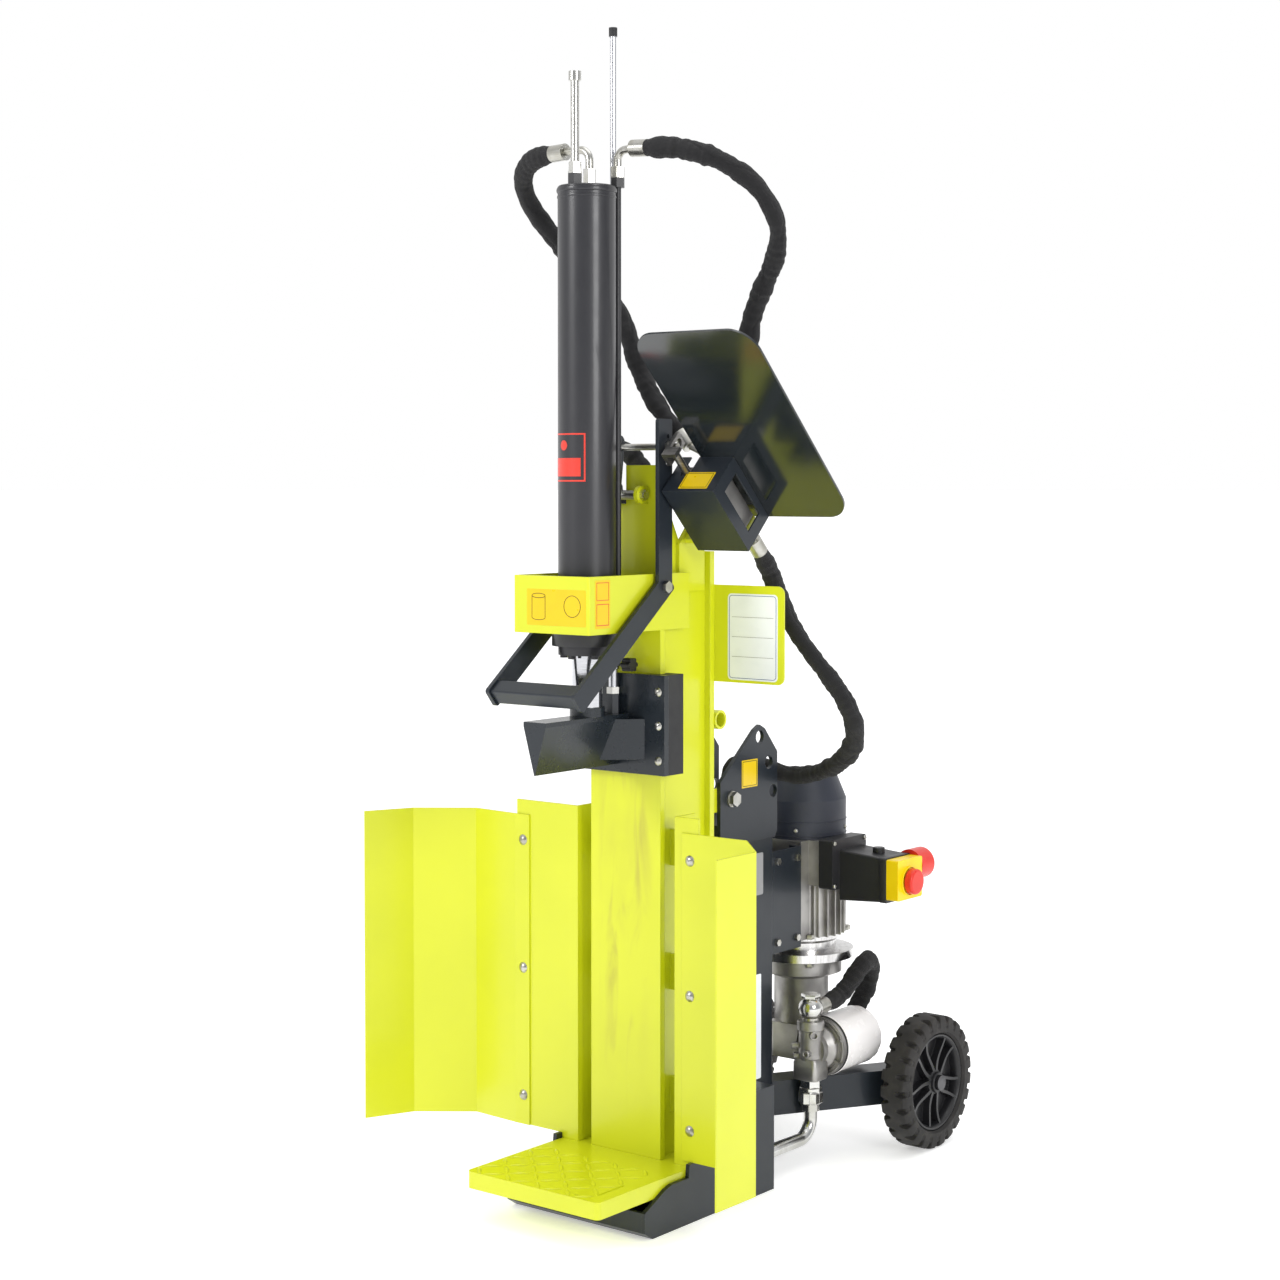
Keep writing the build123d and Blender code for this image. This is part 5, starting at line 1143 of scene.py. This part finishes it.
@dataclass
class MotorTrim:
    """Bands, grille and bolts of the motor, and the trim of its switch box."""

    builder: Builder
    axis: tuple = (0.0, 0.560)
    cowl_radius: float = 0.088
    band_heights: tuple = (0.6125, 0.6395)
    grille_radii: tuple = (0.012, 0.021, 0.030, 0.039, 0.048)
    box_centre: tuple = (0.556, 0.543)
    button: tuple = (0.553, 0.541)
    flange_bolt_radius: float = 0.090

    def cowl(self) -> None:
        """Bands round the fan cowl and a grille of rings and radial bars on its top."""
        centre = (*self.axis, 0.0)
        rows = ((0.0870, 0), (0.0890, 0.0006), (0.0893, 0.0016), (0.0890, 0.0026), (0.0870, 0.0032))
        parts = [self.builder.ring([(radius, low + rise) for radius, rise in rows], centre, UP)
                 for low in self.band_heights]
        self.builder.piece("cowl_bands", parts, "cowl_plastic", "frame", "black_plastic", 50)
        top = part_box("motor_cowl")[1].z
        rows = ((0, -0.0002), (0.0006, 0.0016), (0.0024, 0.0016), (0.003, -0.0002))
        parts = [self.builder.ring([(radius + a, top + b) for a, b in rows], centre, UP, 64)
                 for radius in self.grille_radii]
        hub, half = np.array(self.axis), 0.0011
        for number in range(12):
            turn = number * math.tau / 12
            out, side = np.array([math.cos(turn), math.sin(turn)]), np.array([-math.sin(turn), math.cos(turn)])
            corners = [hub + out * a + side * b
                       for a, b in ((0.012, -half), (0.051, -half), (0.051, half), (0.012, half))]
            parts.append(slab([(*c, top - 0.0002) for c in corners], UP, 0.0024))
        self.builder.piece("cowl_grille", parts, "cowl_plastic", "frame", "black_plastic", 30)

    def screws(self) -> None:
        """Domed screw heads: a quarter-circle profile with a shallow round socket."""
        head = [(0.0001, 0.0016), (0.0018, 0.0016), (0.0019, 0.0030), (0.0030, 0.0028), (0.0040, 0.0018),
                (0.0043, 0.0004), (0.0043, -0.0006), (0.0001, -0.0006)]
        spots = [(0.1223, y, z) for y in (0.4945, 0.6005) for z in (0.5235, 0.6065)]
        spots += [(0.1243, y, z) for y in (0.5175, 0.5945) for z in (0.4995, 0.5875)]
        parts = [self.builder.solid(head, spot, EAST, 24) for spot in spots]
        for turn in (-2.4, -1.1, 0.35, 2.0):
            out = (self.cowl_radius * math.cos(turn), self.cowl_radius * math.sin(turn), 0.0)
            parts.append(self.builder.solid(head, (out[0], self.axis[1] + out[1], 0.6255), out, 24))
        self.builder.piece("box_screws", parts, "zinc_plate", "frame", "zinc_steel", 35)

    def box(self) -> None:
        """Bezel and plug of the switch box, and the raised ring of its cover."""
        rim = rounded_outline(0.0915, 0.0875, 0.006)
        section = ((0.2130, 0.950), (0.2130, 0.985), (0.2145, 1.0), (0.2270, 1.0), (0.2285, 0.985), (0.2285, 0.950))
        y, z = self.box_centre
        bezel = np.array([[(x, y + a * share, z + b * share) for a, b in rim] for x, share in section])
        plug = [(0.0001, 0.0125), (0.0105, 0.0125), (0.0118, 0.0112), (0.0118, 0.0), (0.0001, 0.0)]
        parts = [self.builder.grid(bezel, wrap_u=True, wrap_v=True),
                 self.builder.solid(plug, (0.184, y, 0.5865), UP, 40)]
        self.builder.piece("box_trim", parts, "black_plastic", "frame", "black_plastic", 35)
        rows = [(0.0262, 0.2545), (0.0262, 0.2580), (0.0272, 0.2588), (0.0286, 0.2580), (0.0286, 0.2545)]
        ring = self.builder.ring(rows, (0.0, *self.button), EAST, 64)
        self.builder.piece("cover_ring", [ring], "yellow_plastic", "frame", "yellow_plastic", 40)

    def bolts(self) -> None:
        """Bolts on the bracket's right side, and four through the motor's flange with heads and nuts."""
        parts = [self.builder.hexagon(0.013, (0.062, y, z), EAST, (-0.0005, 0.0065))
                 for y in (0.386, 0.452) for z in (0.424, 0.580)]
        low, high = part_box("motor_flange")
        for number in range(4):
            turn = math.radians(45 + 90 * number)
            spot = (self.axis[0] + self.flange_bolt_radius * math.cos(turn),
                    self.axis[1] + self.flange_bolt_radius * math.sin(turn), 0.0)
            parts.append(self.builder.hexagon(0.016, spot, UP, (high.z - 0.0005, high.z + 0.0085)))
            parts.append(self.builder.hexagon(0.016, spot, UP, (low.z - 0.0095, low.z + 0.0005)))
        self.builder.piece("motor_bolts", parts, "zinc_plate", "frame", "zinc_steel", 30)

    def build(self) -> None:
        """Makes every trim piece."""
        self.cowl()
        self.screws()
        self.box()
        self.bolts()


@dataclass
class Filter:
    """Spin-on can with its seal, the cast shapes of its head, the banjo and the suction nuts."""

    builder: Builder
    head_depth: float = 0.023
    head_bottom: float = 0.162
    head_top: float = 0.276
    can_steps: int = 120
    flutes: int = 15

    def __post_init__(self) -> None:
        """Takes the can's middle, its ends and its radius, and the head's upright axis, from the frame."""
        low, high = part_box("filter_canister")
        self.reach, self.length = (high.x - low.x) / 2, high.y - low.y
        self.neck = ((low.x + high.x) / 2, low.y, (low.z + high.z) / 2)
        self.upright = (self.neck[0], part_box("filter_head")[0].y + self.head_depth, 0.0)

    def canister(self) -> None:
        """Spin-on can: rolled seam, straight wall and rounded end whose last part has shallow flutes,
        where the radius dips with the cosine of fifteen times the angle."""
        radius, length = self.reach, self.length
        shape = [(0.0001, 0.0), (radius - 0.006, 0.0), (radius - 0.0012, 0.0006), (radius, 0.0022),
                 (radius, 0.0046), (radius - 0.0012, 0.0062), (radius - 0.0016, 0.008)]
        shape += [(radius - 0.0016, v) for v in np.linspace(0.02, length - 0.024, 5)]
        turn = np.linspace(0, math.pi / 2, 9)
        shape += [(radius - 0.0136 + 0.012 * math.cos(t), length - 0.012 + 0.012 * math.sin(t)) for t in turn]
        shape += [(radius - 0.020, length), (radius - 0.026, length - 0.0015), (0.0001, length - 0.0015)]
        skin = turned(shape, self.neck, NORTH, self.can_steps)
        along = np.array(shape)[:, 1]
        amount = np.clip((along - (length - 0.030)) / 0.012, 0, 1)[:, None]
        turn = np.linspace(0, math.tau, self.can_steps, endpoint=False)
        pull = 1 - 0.016 * amount * (0.5 + 0.5 * np.cos(self.flutes * turn)[None]) ** 2
        hub = np.array(self.neck) + np.array(NORTH) * along[:, None]
        skin = hub[:, None] + (skin - hub[:, None]) * pull[:, :, None]
        self.builder.piece("spin_on_can", [self.builder.grid(skin, wrap_v=True, caps=True)], "canister_enamel",
                           "frame", "white_paint", 40, ("filter_canister",))

    def boss(self, centre: tuple, axis: tuple, span: tuple, outer: float, bore: float) -> tuple:
        """Cast boss with a rounded rim and a blind threaded hole, along the axis from span's start to its end."""
        start, end = span
        shape = [(outer * 1.12, start), (outer, start + 0.003), (outer, end - 0.0012), (outer - 0.0012, end),
                 (bore + 0.0008, end), (bore, end - 0.0008), (bore, end - 0.006), (0.0001, end - 0.006)]
        return self.builder.solid(shape, centre, axis, 40)

    def block(self) -> tuple:
        """Square foot of the head: rounded squares stacked upwards, each a share of the widest."""
        x, y, _ = self.upright
        rows = []
        for rise, share in ((0.001, 0.92), (0.005, 1.0), (0.034, 1.0), (0.042, 0.86)):
            flat = rounded_outline(0.054 * share, 0.050 * share, 0.009 * share)
            rows.append([(x + a, y + b, self.head_bottom + rise) for a, b in flat])
        return self.builder.grid(np.array(rows, float), wrap_v=True, caps=True)

    def bosses(self) -> list:
        """Five bosses with holes, on the upright body and on the plate behind the can."""
        x, y, _ = self.upright
        right, front, left = (0.75, -0.66, 0), (0.12, -0.99, 0), (-0.86, -0.50, 0)
        plate = (x - 0.012, self.neck[1], self.neck[2] - 0.0475)
        return [self.boss((x, y, 0.251), right, (0.019, 0.0285), 0.0090, 0.0050),
                self.boss((x + 0.004, y, 0.216), front, (0.019, 0.0300), 0.0075, 0.0036),
                self.boss((x, y, 0.226), left, (0.019, 0.0370), 0.0065, 0.0034),
                self.boss((x, y, 0.206), left, (0.019, 0.0330), 0.0070, 0.0038),
                self.boss(plate, (0, -1, 0), (0.010, 0.0165), 0.0066, 0.0036)]

    def castings(self) -> None:
        """Collar, foot, flared neck, rings, bosses and ribs of the cast head."""
        top = self.head_top
        collar = [(0.022, top - 0.020), (0.0262, top - 0.017), (0.0262, top - 0.003), (0.0250, top - 0.0004),
                  (0.022, top - 0.0004)]
        flare = [(0.030, -0.034), (0.0335, -0.028), (0.0400, -0.0225), (0.0425, -0.0165), (0.0425, -0.0120),
                 (0.030, -0.0120)]
        parts = [self.builder.ring(collar, self.upright, UP), self.block(),
                 self.builder.ring(flare, self.neck, NORTH)]
        for radius in (0.0460, 0.0515):
            bead = [(radius, -0.0115), (radius + 0.0008, -0.0140), (radius + 0.0024, -0.0140),
                    (radius + 0.0032, -0.0115)]
            parts.append(self.builder.ring(bead, self.neck, NORTH))
        parts += self.bosses()
        for turn in (-0.5, 0.35, 2.6):
            out, side = np.array([math.cos(turn), math.sin(turn)]), np.array([-math.sin(turn), math.cos(turn)])
            corners = [np.array([self.neck[0], self.neck[2]]) + out * a + side * b
                       for a, b in ((0.026, -0.0028), (0.056, -0.0020), (0.056, 0.0020), (0.026, 0.0028))]
            parts.append(slab([(c[0], self.neck[1] - 0.0118, c[1]) for c in corners], (0, -1, 0), 0.008))
        self.builder.piece("filter_castings", parts, "cast_aluminium", "frame", "cast_aluminium", 40)

    def banjo(self) -> None:
        """Banjo ball, a circle's arc turned round the upright, with its bolt head."""
        turn = np.linspace(-1.15, 1.15, 15)
        ball = [(0.0001, 0.2765), *((0.0238 * math.cos(t), 0.2985 + 0.0235 * math.sin(t)) for t in turn),
                (0.0001, 0.3200)]
        parts = [self.builder.solid(ball, self.upright, UP, 48),
                 self.builder.hexagon(0.032, self.upright, UP, (0.3185, 0.3275))]
        self.builder.piece("banjo_ball", parts, "bright_zinc", "frame", "zinc_steel", 40)

    def fittings(self) -> None:
        """The can's dark seal, and the nuts of the suction pipe."""
        seal = [(self.reach - 0.006, -0.0030), (self.reach - 0.0010, -0.0026), (self.reach - 0.0006, 0.0010),
                (self.reach - 0.006, 0.0014)]
        self.builder.piece("filter_seal", [self.builder.ring(seal, self.neck, NORTH, self.can_steps)], "nylon",
                           "frame", "black_plastic", 40)
        sleeve = [(0.0128, 0.1010), (0.0170, 0.1020), (0.0170, 0.1160), (0.0128, 0.1170)]
        washer = [(0.0190, 0.1400), (0.0218, 0.1415), (0.0218, 0.1470), (0.0190, 0.1485)]
        nuts = [self.builder.hexagon(0.041, self.upright, UP, (0.1165, 0.1385)),
                self.builder.ring(sleeve, self.upright, UP), self.builder.ring(washer, self.upright, UP)]
        self.builder.piece("suction_nuts", nuts, "bright_zinc", "frame", "zinc_steel", 30)

    def build(self) -> None:
        """Makes every piece of the filter."""
        self.canister()
        self.banjo()
        self.castings()
        self.fittings()


@dataclass
class Studio:
    """Pale floor, soft light and the camera."""

    camera_at: tuple = (2.5754, -3.1953, 1.302)
    heading: float = 38.5
    pitch: float = 2.0
    lens: float = 64.4
    shift: float = -0.0588
    floor_reach: float = 400.0
    clip_end: float = 2000.0

    def light(self, name: str, place: tuple, target: tuple, size: float, power: float) -> None:
        """Adds one square area light aimed at a point."""
        data = bpy.data.lights.new(name, "AREA")
        data.shape, data.size, data.energy = "SQUARE", size, power
        lamp = bpy.data.objects.new(name, data)
        lamp.location = place
        direction = np.array(target) - np.array(place)
        lamp.rotation_euler = (
            math.pi / 2 + math.atan2(direction[2], math.hypot(direction[0], direction[1])), 0,
            math.atan2(direction[1], direction[0]) - math.pi / 2)
        bpy.context.scene.collection.objects.link(lamp)

    @staticmethod
    def sky() -> None:
        """White surroundings that fall off to grey on the log side, so that bare metal shows its roundness."""
        world = bpy.data.worlds.new("studio")
        world.use_nodes = True
        g = Graph("studio_sky", world.node_tree)
        way = g.node("SeparateXYZ", {}, {0: g.add("TexCoord", {}, {}, "Generated")})
        x, y, z = (Wire(g, way.outputs[i]) for i in range(3))
        front = (x * 0.62 - y * 0.78).rise(-0.45, 0.25) * (1.0 - z.rise(0.45, 0.85))
        g.node("OutputWorld", {}, {0: g.add("Background", {}, {"Color": g.blend(
            front, (1, 1, 1, 1), (0.42, 0.43, 0.45, 1)), "Strength": 1.0})})
        bpy.context.scene.world = world

    def build(self) -> None:
        """Makes the floor, the world, the lights and the camera."""
        reach = self.floor_reach
        mesh = bpy.data.meshes.new("floor")
        mesh.from_pydata([(-reach, -reach, 0), (reach, -reach, 0), (reach, reach, 0), (-reach, reach, 0)], [],
                         [(0, 1, 2, 3)])
        floor = bpy.data.objects.new("floor", mesh)
        bpy.context.scene.collection.objects.link(floor)
        g = Graph("floor_paper")
        tint = g.blend(g.noise(2, 2), srgb(250, 250, 250), srgb(246, 246, 246))
        mesh.materials.append(g.finish(
            Base_Color=tint, Roughness=0.9, Specular_IOR_Level=0.1, Emission_Color=tint, Emission_Strength=0.45))
        self.sky()
        bpy.context.scene.view_settings.view_transform = "Standard"
        self.light("key", (-1.6, -4.2, 3.0), (0, 0, 1.0), 1.3, 84)
        self.light("fill", (4.4, -1.2, 2.2), (0, 0.2, 0.9), 1.6, 76)
        self.light("top", (0.4, 0.6, 4.6), (0, 0.1, 1.0), 2.5, 30)
        data = bpy.data.cameras.new("camera")
        data.lens, data.sensor_width, data.shift_y = self.lens, 36.0, self.shift
        data.clip_end = self.clip_end
        camera = bpy.data.objects.new("camera", data)
        camera.location = self.camera_at
        camera.rotation_euler = (math.radians(90 - self.pitch), 0, math.radians(self.heading))
        bpy.context.scene.collection.objects.link(camera)
        bpy.context.scene.camera = camera


def main() -> None:
    """Builds the looks in order."""
    logging.basicConfig(level=logging.INFO, format="%(name)s: %(message)s")
    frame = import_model()
    Studio().build()
    palette = Palette()
    palette.dress_frame(frame["nodes"])
    builder = Builder(palette)
    Hoses(builder).build()
    for side, name in ((-1, "left"), (1, "right")):
        Wheel(builder, side, name).build()
    TablePattern(builder).build()
    Labels(builder).build()
    CylinderTrim(builder).build()
    MotorTrim(builder).build()
    Filter(builder).build()
    log.info("%d pieces built", builder.count)


if __name__ == "__main__":
    main()
